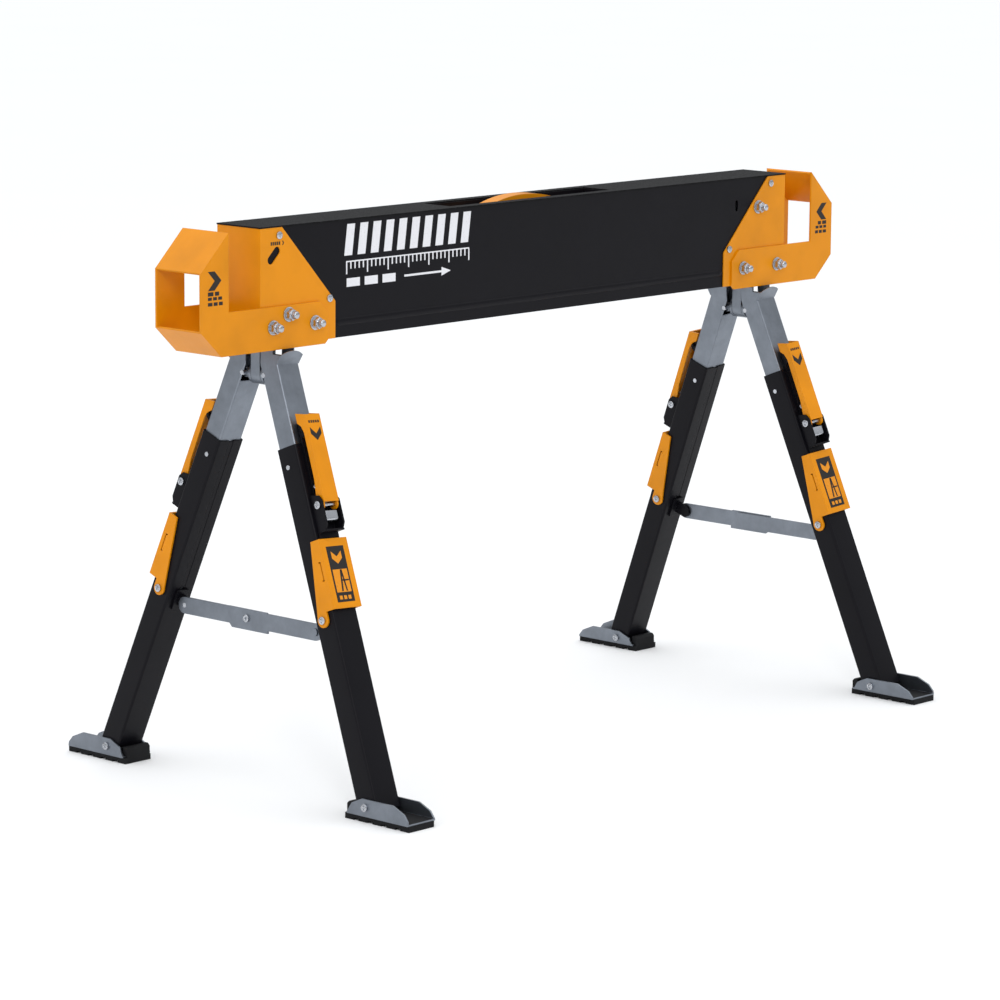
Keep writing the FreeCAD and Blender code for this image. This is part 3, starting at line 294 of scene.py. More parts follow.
def studio_floor(hex_text):
    """Matte painted studio floor, almost even, with a trace of roller texture."""
    material, tree, place, base = new_material("matte studio floor", hex_text)
    roller = add_node(tree, "ShaderNodeTexNoise", {"Scale": per_metre(400.0), "Detail": 2.0},
                      {"Vector": place})
    colour = add_node(tree, "ShaderNodeValToRGB", {"stops": ((0.0, scaled(base, 0.985)), (1.0, base))},
                      {"Fac": roller.outputs["Fac"]})
    shader = add_node(tree, "ShaderNodeBsdfPrincipled", {"Roughness": 0.95, "Specular IOR Level": 0.1},
                      {"Base Color": colour.outputs["Color"]})
    add_node(tree, "ShaderNodeOutputMaterial", None, {"Surface": shader.outputs["BSDF"]})
    return material


FINISHES = {}


def finish(name):
    """One of the finishes, made when first asked for."""
    colours = bpy.context.scene.sawhorse_colours
    makers = {
        "yellow": lambda: powder_coat("orange-yellow powder coat", colours.yellow, 0.34, 0.22),
        "black": lambda: powder_coat("satin black powder coat", colours.black, 0.38, 0.12),
        "grit": lambda: grit_coating(colours.grit),
        "zinc": lambda: zinc_plate("zinc plated steel tube", colours.zinc, 0.40, 1.2),
        "bright": lambda: zinc_plate("bright zinc plated fasteners", colours.bright, 0.24, 0.7),
        "rubber": lambda: moulded_rubber(colours.rubber),
        "white ink": lambda: screen_ink("white screen print", colours.white_ink),
        "black ink": lambda: screen_ink("black screen print", colours.black_ink),
        "yellow ink": lambda: screen_ink("yellow screen print", colours.yellow),
        "floor": lambda: studio_floor(colours.floor),
    }
    if name not in FINISHES:
        FINISHES[name] = makers[name]()
    return FINISHES[name]


# ---------------------------------------------------------------- shapes
def grid_quads(rows, columns, wrap):
    """Quads of a rows by columns grid of points; wrap joins the last column to the first."""
    last = columns if wrap else columns - 1
    row, column = np.meshgrid(np.arange(rows - 1), np.arange(last), indexing="ij")
    here = row * columns + column
    beside = row * columns + (column + 1) % columns
    return np.stack([here, beside, beside + columns, here + columns], -1).reshape(-1, 4)


def grid_shape(points, wrap):
    """Shape from a grid of points of shape (rows, columns, 3)."""
    rows, columns = points.shape[:2]
    return points.reshape(-1, 3), grid_quads(rows, columns, wrap).tolist()


def turned_shape(radius, height, centre, across, along, other, sides=40):
    """Surface of revolution: radius(t) about the line through centre along one axis, at height(t)."""
    angle = np.linspace(0.0, 2.0 * math.pi, sides, endpoint=False)
    ring = np.cos(angle)[:, None] * across + np.sin(angle)[:, None] * other
    points = centre + radius[:, None, None] * ring[None] + height[:, None, None] * along
    return grid_shape(points, True)


def plate_shape(outline, thickness, origin, right, up, out):
    """Flat plate: an outline in the right and up directions, raised by a thickness along out."""
    outline = np.asarray(outline, float)
    count = len(outline)
    flat = origin + outline[:, :1] * right + outline[:, 1:] * up
    points = np.concatenate([flat, flat + thickness * out])
    index = np.arange(count)
    beside = (index + 1) % count
    walls = np.stack([index, beside, beside + count, index + count], -1).tolist()
    return points, [index[::-1].tolist(), (index + count).tolist()] + walls


def tube_shape(path, radius, sides=12):
    """Round wire: a circle carried along a path, square to it, with closed ends."""
    path = np.asarray(path, float)
    ahead = np.gradient(path, axis=0)
    ahead /= np.linalg.norm(ahead, axis=1, keepdims=True)
    guide = np.array([0.31, 0.53, 0.79])
    beside = np.cross(ahead, guide)
    beside /= np.linalg.norm(beside, axis=1, keepdims=True)
    other = np.cross(ahead, beside)
    angle = np.linspace(0.0, 2.0 * math.pi, sides, endpoint=False)
    ring = np.cos(angle)[:, None] * beside[:, None] + np.sin(angle)[:, None] * other[:, None]
    first, last = (np.repeat(end[:, None], sides, 1) for end in (path[:1], path[-1:]))
    return grid_shape(np.concatenate([first, path[:, None] + radius * ring, last]), True)


def strip_shape(path, half_width, thickness, across):
    """Bent strip: a path of places and normals, widened by half_width to both sides and thickened."""
    place, normal = path
    section = np.stack([place - half_width * across, place + half_width * across,
                        place + half_width * across + thickness * normal,
                        place - half_width * across + thickness * normal], 1)
    first, last = (end.mean(1, keepdims=True).repeat(4, 1) for end in (section[:1], section[-1:]))
    return grid_shape(np.concatenate([first, section, last]), True)


def smooth_path(points, steps):
    """Catmull-Rom curve through the points, with that many steps a span."""
    points = np.asarray(points, float)
    padded = np.concatenate([2 * points[:1] - points[1:2], points, 2 * points[-1:] - points[-2:-1]])
    t = np.linspace(0.0, 1.0, steps, endpoint=False)[None, :, None]
    a, b, c, d = (padded[i:len(padded) - 3 + i, None] for i in range(4))
    square, cube = 2 * a - 5 * b + 4 * c - d, 3 * b - a - 3 * c + d
    curve = 0.5 * (2 * b + (c - a) * t + square * t ** 2 + cube * t ** 3)
    return np.concatenate([curve.reshape(-1, points.shape[1]), points[-1:]])


def build(name, shapes, material, body):
    """One object from shapes in the frame, welded, faced outwards, finished and riding on its body."""
    points = []
    faces = []
    start = 0
    for shape_points, shape_faces in shapes:
        points.append(shape_points)
        faces.extend([[start + i for i in face] for face in shape_faces])
        start += len(shape_points)
    mesh = bpy.data.meshes.new(name)
    mesh.from_pydata(np.concatenate(points).tolist(), [], faces)
    work = bmesh.new()
    work.from_mesh(mesh)
    bmesh.ops.remove_doubles(work, verts=work.verts, dist=WELD_DISTANCE * MM)
    bmesh.ops.recalc_face_normals(work, faces=work.faces)
    work.to_mesh(mesh)
    work.free()
    mesh.polygons.foreach_set("use_smooth", np.ones(len(mesh.polygons), bool))
    mesh.set_sharp_from_angle(angle=math.radians(35.0))
    mesh.materials.append(material)
    piece = bpy.data.objects.new(name, mesh)
    bpy.context.scene.collection.objects.link(piece)
    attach(piece, body)
    return piece


# ---------------------------------------------------------------- places
X_AXIS = np.array([1.0, 0.0, 0.0])
Y_AXIS = np.array([0.0, 1.0, 0.0])
Z_AXIS = np.array([0.0, 0.0, 1.0])


class Leg:
    """Directions of one leg, from its joints: across, outward and up along it."""

    def __init__(self, corner):
        self.across = np.array(JOINTS["splay_" + corner]["axis"], float)
        self.up = -np.array(JOINTS["extend_" + corner]["axis"], float)
        self.out = -np.cross(self.up, self.across)
        self.foot = np.array(JOINTS["foot_" + corner]["pos_m"], float)

    def at(self, across, out, up):
        """Point or points given in millimetres across, outward and up the leg."""
        across, out, up = (np.asarray(value, float)[..., None] * MM for value in (across, out, up))
        return self.foot + across * self.across + out * self.out + (up - FOOT_SCREW_UP * MM) * self.up


LEGS = {corner: Leg(corner) for corner in CORNERS}


def edges(node):
    """Lowest and highest corner of a CAD node as arrays, in metres."""
    low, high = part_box(node)
    return np.array(low), np.array(high)


# ---------------------------------------------------------------- CAD parts
PAINTED_TABS = ("brace_tab_left_back", "brace_tab_right_back")
# How a node's name starts, and its finish; the last entry takes every other node.
NODE_FINISH = (
    ("beam_channel", "black"), ("handle_tray", "black"), ("slide_tube", "black"), ("lock_housing", "black"),
    *((tab, "black") for tab in PAINTED_TABS),
    ("grip_plate", "grit"), ("end_cap", "yellow"), ("arm_left", "yellow"), ("arm_right", "yellow"),
    ("lever", "yellow"), ("support", "yellow"), ("carry_handle", "yellow"), ("pad", "rubber"),
    ("cap_screws", "bright"), ("arm_bolts", "bright"), ("hanger_bolts", "bright"), ("washers", "bright"),
    ("nuts", "bright"), ("leg_screws", "bright"), ("splay_pins", "bright"), ("", "zinc"),
)


class FinishFrameParts(bpy.types.Operator):
    """Gives each CAD part its real finish, smooth curves and crisp sheet edges"""

    bl_idname = "sawhorse.finish_frame_parts"
    bl_label = "Finish frame parts"

    def execute(self, context):
        for name, node in frame["nodes"].items():
            kind = next(kind for start, kind in NODE_FINISH if name.startswith(start))
            node.data.materials.clear()
            node.data.materials.append(finish(kind))
            self.crisp_edges(node)
            if name.startswith("shoe"):
                self.line_shoe(node)
            if name in PAINTED_TABS:
                self.bare_pin(node, JOINTS["brace_" + name.removeprefix("brace_tab_")])
        return {"FINISHED"}

    def line_shoe(self, node):
        """Makes the web of a shoe rubber, where the pad wraps through it: its faces look up, low down."""
        mesh = node.data
        mesh.materials.append(finish("rubber"))
        normals, centres = (np.empty(3 * len(mesh.polygons)) for _ in range(2))
        mesh.polygons.foreach_get("normal", normals)
        mesh.polygons.foreach_get("center", centres)
        placing = np.array(node.matrix_world)
        upward = normals.reshape(-1, 3) @ placing[2, :3]
        height = centres.reshape(-1, 3) @ placing[2, :3] + placing[2, 3]
        lining = (upward > 0.9) & (height < SHOE_WEB_TOP * MM)
        mesh.polygons.foreach_set("material_index", lining.astype(np.int32))

    def bare_pin(self, node, joint):
        """Makes the pin of a painted tab bright: every face whose corners all lie close to the pin's axis."""
        mesh = node.data
        mesh.materials.append(finish("bright"))
        places = np.empty(3 * len(mesh.vertices))
        mesh.vertices.foreach_get("co", places)
        corners = np.empty(len(mesh.loops), np.int32)
        mesh.loops.foreach_get("vertex_index", corners)
        starts = np.empty(len(mesh.polygons), np.int32)
        mesh.polygons.foreach_get("loop_start", starts)
        placing = np.array(node.matrix_world)
        world = places.reshape(-1, 3) @ placing[:3, :3].T + placing[:3, 3]
        distance = np.linalg.norm(np.cross(world - joint["pos_m"], joint["axis"]), axis=1)
        farthest = np.maximum.reduceat(distance[corners], starts)
        mesh.polygons.foreach_set("material_index", (farthest < BRACE_PIN_REACH * MM).astype(np.int32))

    def crisp_edges(self, node):
        """Joins the loose facets, smooths the curved faces and keeps the sheet edges sharp."""
        node.data.polygons.foreach_set("use_smooth", np.ones(len(node.data.polygons), bool))
        weld = node.modifiers.new("Join facets", "WELD")
        weld.merge_threshold = WELD_DISTANCE * MM
        split = node.modifiers.new("Sharp edges", "EDGE_SPLIT")
        split.split_angle = math.radians(30.0)


# ---------------------------------------------------------------- fasteners
# Sizes in millimetres, shared with the CAD bolts and screws.
BOLT_HEAD_REACH = 8.0         # from an arm bolt's axis to the end of the bolt's box
ARM_BOLT_SPACING = 68.0
HANGER_HEAD_RADIUS = 7.2      # over the corners of the hexagon, which stand above and below
BOLT_TIP_LENGTH = 3.5
BOLT_EXTRA = 4.5              # by which the thread stands beyond the CAD tip
NUT_COLLAR = 1.6
COLLAR_MIDDLE = 0.9           # of the collar's wall, beyond the bolt
COLLAR_HALF_WIDTH = 1.0
HEAD_STAND_OFF = 5.2          # of the support and foot screw heads, from the side of the slide
CLEVIS_HALF_WIDTH = 17.0
LEG_HEAD_RISE = 1.0
CAP_SCREW_RADIUS = 4.4
CAP_SCREW_SPACING = 82.0
CAP_HEAD_RISE = 0.8
RIVET_REACH = 9.6             # from the middle of a leg to the face of the brace's rivet
RIVET_Y = 2.0
RIVET_RADIUS = 4.6
RIVET_SWELL = 0.9
RIVET_HOLLOW = 0.5


class AddBoltEnds(bpy.types.Operator):
    """Adds the threaded tips and nut collars of the beam's bolts"""

    bl_idname = "sawhorse.add_bolt_ends"
    bl_label = "Add bolt ends"

    def execute(self, context):
        details = context.scene.sawhorse_details
        shapes = []
        for tip, out in self.ends():
            shapes.append(self.thread(tip, out, details.bolt_radius, details.thread_pitch))
            shapes.append(self.collar(tip, out, details.bolt_radius))
        build("bolt_ends", shapes, finish("bright"), "beam")
        return {"FINISHED"}

    def ends(self):
        """Tip and outward direction of each bolt, from the boxes of the bolts and the sheets under them."""
        arm_low, arm_high = edges("arm_bolts")
        long_low, long_high = edges("hanger_bolts")
        outer_x = arm_low[0] + BOLT_HEAD_REACH * MM
        inner_x = outer_x + ARM_BOLT_SPACING * MM
        tip_y = arm_high[1]
        z = (arm_low[2] + arm_high[2]) / 2
        found = []
        for x in (outer_x, inner_x, -outer_x, -inner_x):
            found.append((np.array([x, -tip_y, z]), -Y_AXIS))
            found.append((np.array([x, tip_y, z]), Y_AXIS))
        head_z = HANGER_HEAD_RADIUS * MM
        head_x = head_z * math.cos(math.pi / 6)
        # The left long bolt passes the arm's plate as well, and the right one only the end cap.
        arm_plate = edges("arm_left")[1][1] - edges("end_cap_left")[1][1]
        found.append((np.array([long_low[0] + head_x, -tip_y, long_low[2] + head_z]), -Y_AXIS))
        found.append((np.array([long_high[0] - head_x, arm_plate - tip_y, long_high[2] - head_z]), -Y_AXIS))
        return found

    def thread(self, tip, out, radius, pitch):
        """Screw thread: a radius that waves once a pitch, turning with the angle, and closes in a dome."""
        root, depth, dome_start = 0.16 * pitch, 0.3 * pitch, 0.82
        across, other = X_AXIS, np.cross(out, X_AXIS)
        t = np.linspace(0.0, 1.0, 60)[:, None]
        angle = np.linspace(0.0, 2.0 * math.pi, 40, endpoint=False)[None]
        length = (BOLT_TIP_LENGTH + NUT_COLLAR) * MM
        turn = t * length / pitch + angle / (2.0 * math.pi)
        body = radius - root + depth * (0.5 - 0.5 * np.cos(2.0 * math.pi * turn))
        closing = np.clip((t - dome_start) / (1.0 - dome_start), 0.0, 1.0)
        spread = (body * np.sqrt(1.0 - closing ** 2))[..., None]
        ring = np.cos(angle)[..., None] * across + np.sin(angle)[..., None] * other
        place = tip - out * length + (t * (length + BOLT_EXTRA * MM))[..., None] * out
        return grid_shape(place + spread * ring, True)

    def collar(self, tip, out, radius):
        """Crown of a lock nut: half a wave of height over a ring, so that it rounds over into the bore."""
        turn = np.linspace(0.0, math.pi, 10)
        ring_radius = radius + (COLLAR_MIDDLE + COLLAR_HALF_WIDTH * np.cos(turn)) * MM
        height = NUT_COLLAR * MM * np.sin(turn)
        base = tip - out * BOLT_TIP_LENGTH * MM
        return turned_shape(ring_radius, height, base, X_AXIS, out, np.cross(out, X_AXIS))


def screw_cap(centre, out, across, radius, rise):
    """Pan head: a dome whose height falls with the square of the radius, less a cross-shaped recess.

    Each bar of the cross is a flat floor with sloping flanks, in shares of the head's radius and rise.
    """
    half_width, flank, half_length, end_slope, depth = 0.15, 0.06, 0.62, 0.08, 1.2
    lift, skirt_drop = 0.05 * MM, 0.3 * MM
    other = np.cross(out, across)
    reach = np.linspace(0.0, 1.0, 16)[:, None]
    angle = np.linspace(0.0, 2.0 * math.pi, 64, endpoint=False)[None]
    a = np.abs(reach * np.cos(angle))
    b = np.abs(reach * np.sin(angle))
    bar_a, bar_b = (np.clip((half_width - beside) / flank, 0.0, 1.0)
                    * np.clip((half_length - along) / end_slope, 0.0, 1.0)
                    for beside, along in ((a, b), (b, a)))
    height = rise * (1.0 - reach ** 2 - depth * np.maximum(bar_a, bar_b)) + lift
    ring = np.cos(angle)[..., None] * across + np.sin(angle)[..., None] * other
    points = centre + (radius * reach)[..., None] * ring + height[..., None] * out
    return grid_shape(np.concatenate([points, points[-1:] - skirt_drop * out]), True)


class AddScrewHeads(bpy.types.Operator):
    """Adds the domed, cross-recessed heads of the cap screws, leg screws and foot screws"""

    bl_idname = "sawhorse.add_screw_heads"
    bl_label = "Add screw heads"

    def execute(self, context):
        radius = context.scene.sawhorse_details.screw_radius
        for corner, leg in LEGS.items():
            build("screw_heads_" + corner, self.leg_heads(leg, radius), finish("bright"), "slide_" + corner)
        build("cap_screw_heads", self.cap_heads(), finish("bright"), "beam")
        return {"FINISHED"}

    def leg_heads(self, leg, radius):
        """Heads at both ends of the support, lever and foot screws of one leg."""
        places = (
            (SLIDE_HALF_WIDTH + HEAD_STAND_OFF, 0.0, SUPPORT_SCREW_UP),
            (CLEVIS_HALF_WIDTH, LEVER_SCREW_OUT, LEVER_SCREW_UP),
            (SLIDE_HALF_WIDTH + HEAD_STAND_OFF, 0.0, FOOT_SCREW_UP),
        )
        rise = LEG_HEAD_RISE * MM
        return [screw_cap(leg.at(side * reach, out, up), side * leg.across, leg.up, radius, rise)
                for reach, out, up in places for side in (-1, 1)]

    def cap_heads(self):
        """Heads of the end cap screws, from the box of the CAD screws."""
        low, high = edges("cap_screws")
        radius = CAP_SCREW_RADIUS * MM
        outer_x = high[0] - radius
        places = ((outer_x, high[2] - radius), (outer_x - CAP_SCREW_SPACING * MM, low[2] + radius))
        return [screw_cap(np.array([side_x * x, side_y * high[1], z]), side_y * Y_AXIS, X_AXIS, radius,
                          CAP_HEAD_RISE * MM)
                for side_x in (-1, 1) for side_y in (-1, 1) for x, z in places]


class AddBraceRivets(bpy.types.Operator):
    """Adds the rolled rivet at the middle of each brace"""

    bl_idname = "sawhorse.add_brace_rivets"
    bl_label = "Add brace rivets"

    def execute(self, context):
        for side, plated, turned in (("left", "front", 1.0), ("right", "back", -1.0)):
            corner = side + "_" + plated
            out = -LEGS[corner].across
            centre = np.array(JOINTS["brace_" + corner]["pos_m"]) + RIVET_REACH * MM * out
            centre[1] = turned * RIVET_Y * MM
            build("brace_rivet_" + side, [self.rivet(centre, out)], finish("bright"), "brace_" + corner)
        return {"FINISHED"}

    def rivet(self, centre, out):
        """Rolled rivet: a rim that swells as half a wave of height, round a sunk flat middle."""
        rim_end, hollow_start = 0.66, 0.7
        inward = np.linspace(0.0, 1.0, 16)
        swell = RIVET_SWELL * np.sin(math.pi * np.clip(inward / rim_end, 0.0, 1.0))
        height = (swell - RIVET_HOLLOW * (inward > hollow_start)) * MM
        across = np.cross(out, Y_AXIS)
        across /= np.linalg.norm(across)
        radius = RIVET_RADIUS * MM * (1.0 - inward)
        return turned_shape(radius, height, centre, across, out, np.cross(out, across))


# ---------------------------------------------------------------- pressed and fitted details
# Millimetres. The rib is low on both faces of the beam; the strip lies in the slot of each slide.
RIB_REACH = 344.0
RIB_END = 10.0
RIB_Z = 545.0
RIB_HALF_HEIGHT = 4.6
RIB_HALF_DEPTH = 2.1
RIB_SUNK = 0.7
STRIP_HALF_WIDTH = 3.1
STRIP_LOW = 245.0
STRIP_HIGH = 442.0
STRIP_SUNK = 2.0
STRIP_THICKNESS = 1.8


class AddBeamRibs(bpy.types.Operator):
    """Adds the pressed stiffening rib low on each face of the beam"""

    bl_idname = "sawhorse.add_beam_ribs"
    bl_label = "Add beam ribs"

    def execute(self, context):
        face = edges("beam_channel")[1][1]
        build("beam_ribs", [self.rib(side, face) for side in (-1, 1)], finish("black"), "beam")
        return {"FINISHED"}

    def rib(self, side, face):
        """Flat ellipse carried along the beam; it shrinks to nothing as a quarter circle at both ends."""
        ending = np.linspace(0.0, math.pi / 2, 9)
        x = np.concatenate([-RIB_REACH - RIB_END * np.cos(ending), RIB_REACH + RIB_END * np.sin(ending)])
        closing = np.clip((np.abs(x) - RIB_REACH) / RIB_END, 0.0, 1.0)
        size = np.sqrt(1.0 - closing ** 2)[:, None]
        turn = np.linspace(0.0, 2.0 * math.pi, 24, endpoint=False)
        points = np.empty((len(x), len(turn), 3))
        points[..., 0] = x[:, None] * MM
        points[..., 1] = side * (face + (RIB_HALF_DEPTH * size * np.sin(turn) - RIB_SUNK) * MM)
        points[..., 2] = (RIB_Z + RIB_HALF_HEIGHT * size * np.cos(turn)) * MM
        return grid_shape(points, True)


class AddGuideStrips(bpy.types.Operator):
    """Adds the black strip that fills the slot on the inner face of each slide"""

    bl_idname = "sawhorse.add_guide_strips"
    bl_label = "Add guide strips"

    def execute(self, context):
        outline = bar_outline(-STRIP_HALF_WIDTH, STRIP_LOW, STRIP_HALF_WIDTH, STRIP_HIGH)
        for corner, leg in LEGS.items():
            origin = leg.at(0.0, STRIP_SUNK - SLIDE_HALF_DEPTH, 0.0)
            shapes = print_shapes([outline], STRIP_THICKNESS * MM, origin, leg.across, leg.up, -leg.out)
            build("guide_strip_" + corner, shapes, finish("black"), "leg_" + corner)
        return {"FINISHED"}


# ---------------------------------------------------------------- lock
# Millimetres outward from the leg's axis and up the leg.
DOG_ROOT_OUT = 19.0
DOG_FACE_OUT = 28.3
DOG_LOW_UP = 349.0
DOG_TOP_UP = 359.5
DOG_BEND_RADIUS = 1.6
DOG_HALF_WIDTH = 9.2
DOG_THICKNESS = 1.5
DOG_EDGE_RADIUS = 0.3


class AddLockDogs(bpy.types.Operator):
    """Adds the bent zinc dog between the cheeks of each lever lock"""

    bl_idname = "sawhorse.add_lock_dogs"
    bl_label = "Add lock dogs"

    def execute(self, context):
        for corner, leg in LEGS.items():
            dog = build("lock_dog_" + corner, [self.dog(leg)], finish("bright"), "slide_" + corner)
            bevel = dog.modifiers.new("Edge radius", "BEVEL")
            bevel.width = DOG_EDGE_RADIUS * MM
            bevel.segments = 2
        return {"FINISHED"}

    def dog(self, leg):
        """Strip that runs straight out of the slide, turns up through a quarter circle and ends flat."""
        turn = np.linspace(0.0, math.pi / 2, 7)
        bend_out = DOG_FACE_OUT - DOG_BEND_RADIUS * (1.0 - np.sin(turn))
        bend_up = DOG_LOW_UP + DOG_BEND_RADIUS * (1.0 - np.cos(turn))
        out = np.concatenate([[DOG_ROOT_OUT], bend_out, [DOG_FACE_OUT]])
        up = np.concatenate([[DOG_LOW_UP], bend_up, [DOG_TOP_UP]])
        place = leg.at(np.zeros_like(out), out, up)
        ahead = np.gradient(place, axis=0)
        ahead /= np.linalg.norm(ahead, axis=1, keepdims=True)
        normal = np.cross(leg.across, ahead)
        return strip_shape((place, normal), DOG_HALF_WIDTH * MM, DOG_THICKNESS * MM, leg.across)


class AddLockWires(bpy.types.Operator):
    """Adds the spring wire that pushes each lever lock home"""

    bl_idname = "sawhorse.add_lock_wires"
    bl_label = "Add lock wires"

    def execute(self, context):
        radius = context.scene.sawhorse_details.wire_radius
        # One arm of the wire, from its free end to its shoulder, then the middle of its bridge.
        arm = np.array([(8.2, 27.0, 381.0), (8.2, 22.5, 387.0), (7.8, 18.9, 391.5)])
        bridge = [(0.0, 18.6, 393.0)]
        path = smooth_path(np.concatenate([arm * (-1.0, 1.0, 1.0), bridge, arm[::-1]]), 8)
        for corner, leg in LEGS.items():
            shape = tube_shape(leg.at(path[:, 0], path[:, 1], path[:, 2]), radius)
            build("lock_wire_" + corner, [shape], finish("bright"), "slide_" + corner)
        return {"FINISHED"}


# ---------------------------------------------------------------- print
# Places of the marks, in millimetres along and up the beam, or up a leg.
PRINT_GAP = 0.01              # under the ink, so that it never shares a plane with the sheet
ARM_MARK_X = 559.5
ARM_MARK_Z = 611.0
HOLE_MARK_X = 458.0
HOLE_MARK_Z = 645.8
LEVER_MARK_UP = 452.0
LABEL_UP = 286.0


def bar_outline(left, low, right, high, lean=0.0):
    """Four-sided bar whose top is shifted sideways by lean."""
    return [(left, low), (right, low), (right + lean, high), (left + lean, high)]


def bar_row(left, low, width, high, pitch, count, lean=0.0):
    """Row of equal bars, each a pitch to the right of the last."""
    return [bar_outline(left + pitch * i, low, left + pitch * i + width, high, lean) for i in range(count)]


def arrow_outline(width, height, band):
    """Chevron that points along +x: a band that runs out to a tip and back."""
    half = height / 2
    return [(0.0, half), (band, half), (width, 0.0), (band, -half), (0.0, -half), (width - band, 0.0)]


def downward(outline, top):
    """Outline that pointed along +x, turned to point down from that height."""
    return [(y, top - x) for x, y in outline]


def print_shapes(outlines, thickness, origin, right, up, out):
    """Raised plates for outlines in millimetres."""
    return [plate_shape(np.asarray(outline) * MM, thickness, origin, right, up, out) for outline in outlines]


class AddBeamPrint(bpy.types.Operator):
    """Adds a plain printed scale and stripes to the front of the beam"""

    bl_idname = "sawhorse.add_beam_print"
    bl_label = "Add beam print"

    def execute(self, context):
        lift = context.scene.sawhorse_details.print_lift
        low, high = edges("beam_channel")
        # Heights are counted down from the top of the channel.
        origin = np.array([0.0, low[1] - PRINT_GAP * MM, high[2]])
        outlines = bar_row(-337.0, -42.0, 13.0, -5.0, 22.0, 10, lean=5.0) + self.scale() + self.panel()
        shapes = print_shapes(outlines, lift, origin, X_AXIS, Z_AXIS, -Y_AXIS)
        build("beam_print", shapes, finish("white ink"), "beam")
        return {"FINISHED"}

    def scale(self):
        """Ruler ticks hanging from a thin line, every fifth one longer."""
        left, base, pitch, count = -334.0, -50.0, 6.95, 31
        lengths = [14.0 if i % 5 == 0 else 8.0 for i in range(count)]
        ticks = [bar_outline(left + pitch * i, base - length, left + pitch * i + 2.0, base)
                 for i, length in enumerate(lengths)]
        return [bar_outline(left, base, left + 210.0, base + 1.5)] + ticks

    def panel(self):
        """Three short solid bars and an arrow under the scale."""
        shaft = bar_outline(-236.0, -75.0, -172.0, -72.5)
        head = [(-172.0, -79.0), (-156.0, -73.8), (-172.0, -68.5)]
        return bar_row(-333.0, -79.0, 22.0, -69.0, 30.0, 3) + [shaft, head]


class AddArmPrint(bpy.types.Operator):
    """Adds the black arrows and plain dashes on the arms and end caps"""

    bl_idname = "sawhorse.add_arm_print"
    bl_label = "Add arm print"

    def execute(self, context):
        lift = context.scene.sawhorse_details.print_lift
        face = edges("arm_left")[1][1] + PRINT_GAP * MM
        cap = edges("end_cap_left")[1][1] + PRINT_GAP * MM
        shapes = []
        for side_y in (-1, 1):
            for side_x in (-1, 1):
                shapes += self.arm_marks(side_x, side_y, face, lift)
        for side in (-1, 1):
            shapes += self.hole_marks(side, side, cap, lift)
        build("arm_print", shapes, finish("black ink"), "beam")
        return {"FINISHED"}

    def arm_marks(self, side_x, side_y, face, lift):
        """Arrow that points to the beam, with three rows of dashes below it."""
        origin = np.array([side_x * ARM_MARK_X * MM, side_y * face, ARM_MARK_Z * MM])
        outlines = [arrow_outline(21.0, 22.0, 10.5)]
        # Each row has its top, its height and the left and right end of each dash in turn.
        rows = ((-12.5, 4.6, (0.0, 8.5, 11.0, 17.5)), (-18.5, 3.6, (0.0, 6.0, 8.0, 14.0, 16.0, 22.0)),
                (-24.5, 4.0, (0.0, 7.0, 9.0, 15.0, 17.0, 23.0)))
        for top, height, stops in rows:
            outlines += [bar_outline(left, top - height, right, top)
                         for left, right in zip(stops[::2], stops[1::2])]
        return print_shapes(outlines, lift, origin, -side_x * X_AXIS, Z_AXIS, side_y * Y_AXIS)

    def hole_marks(self, side_x, side_y, cap, lift):
        """Dashes and a small arrow over the oblong hole."""
        origin = np.array([side_x * HOLE_MARK_X * MM, side_y * cap, HOLE_MARK_Z * MM])
        tip = [(18.0 + x, y) for x, y in arrow_outline(3.4, 5.0, 1.6)]
        outlines = bar_row(0.0, -2.0, 2.2, 2.0, 3.2, 5) + [tip]
        return print_shapes(outlines, lift, origin, -side_x * X_AXIS, Z_AXIS, side_y * Y_AXIS)


class AddLegPrint(bpy.types.Operator):
    """Adds the arrows on the levers and the pictogram labels on the supports"""

    bl_idname = "sawhorse.add_leg_print"
    bl_label = "Add leg print"

    def execute(self, context):
        lift = context.scene.sawhorse_details.print_lift
        for corner, leg in LEGS.items():
            marks = self.lever_marks(leg, lift)
            build("lever_print_" + corner, marks, finish("black ink"), "lever_" + corner)
            ground, figures, lines = self.label(leg, lift)
            build("label_ground_" + corner, ground, finish("black ink"), "support_" + corner)
            build("label_figures_" + corner, figures, finish("yellow ink"), "support_" + corner)
            build("label_lines_" + corner, lines, finish("black ink"), "support_" + corner)
        return {"FINISHED"}

    def lever_marks(self, leg, lift):
        """Arrow that points down the lever under a row of dashes."""
        origin = leg.at(0.0, LEVER_FACE_OUT + PRINT_GAP, LEVER_MARK_UP)
        outlines = [downward(arrow_outline(16.0, 17.0, 8.0), 6.0)] + bar_row(-8.5, 11.0, 2.5, 14.0, 3.6, 5)
        return print_shapes(outlines, lift, origin, leg.across, leg.up, leg.out)

    def label(self, leg, lift):
        """Black label with an arrow, a framed picture of a splayed leg pair and a row of dashes."""
        origin = leg.at(0.0, SUPPORT_FACE_OUT + PRINT_GAP, LABEL_UP)
        ground = [bar_outline(-14.0, -33.0, 14.0, 33.0)]
        window = bar_outline(-11.5, -21.5, 11.5, 5.5)
        figures = [downward(arrow_outline(15.0, 16.0, 8.5), 27.0), window]
        figures += bar_row(-9.5, -30.0, 4.5, -25.5, 7.0, 3)
        lines = [bar_outline(-3.5, -20.5, -1.0, 5.0, 3.5), bar_outline(3.8, -20.5, 6.0, 5.0, -3.0),
                 bar_outline(1.0, -8.5, 11.0, -6.8)]
        return [print_shapes(outlines, lift, origin + layer * lift * leg.out, leg.across, leg.up, leg.out)
                for layer, outlines in enumerate((ground, figures, lines))]


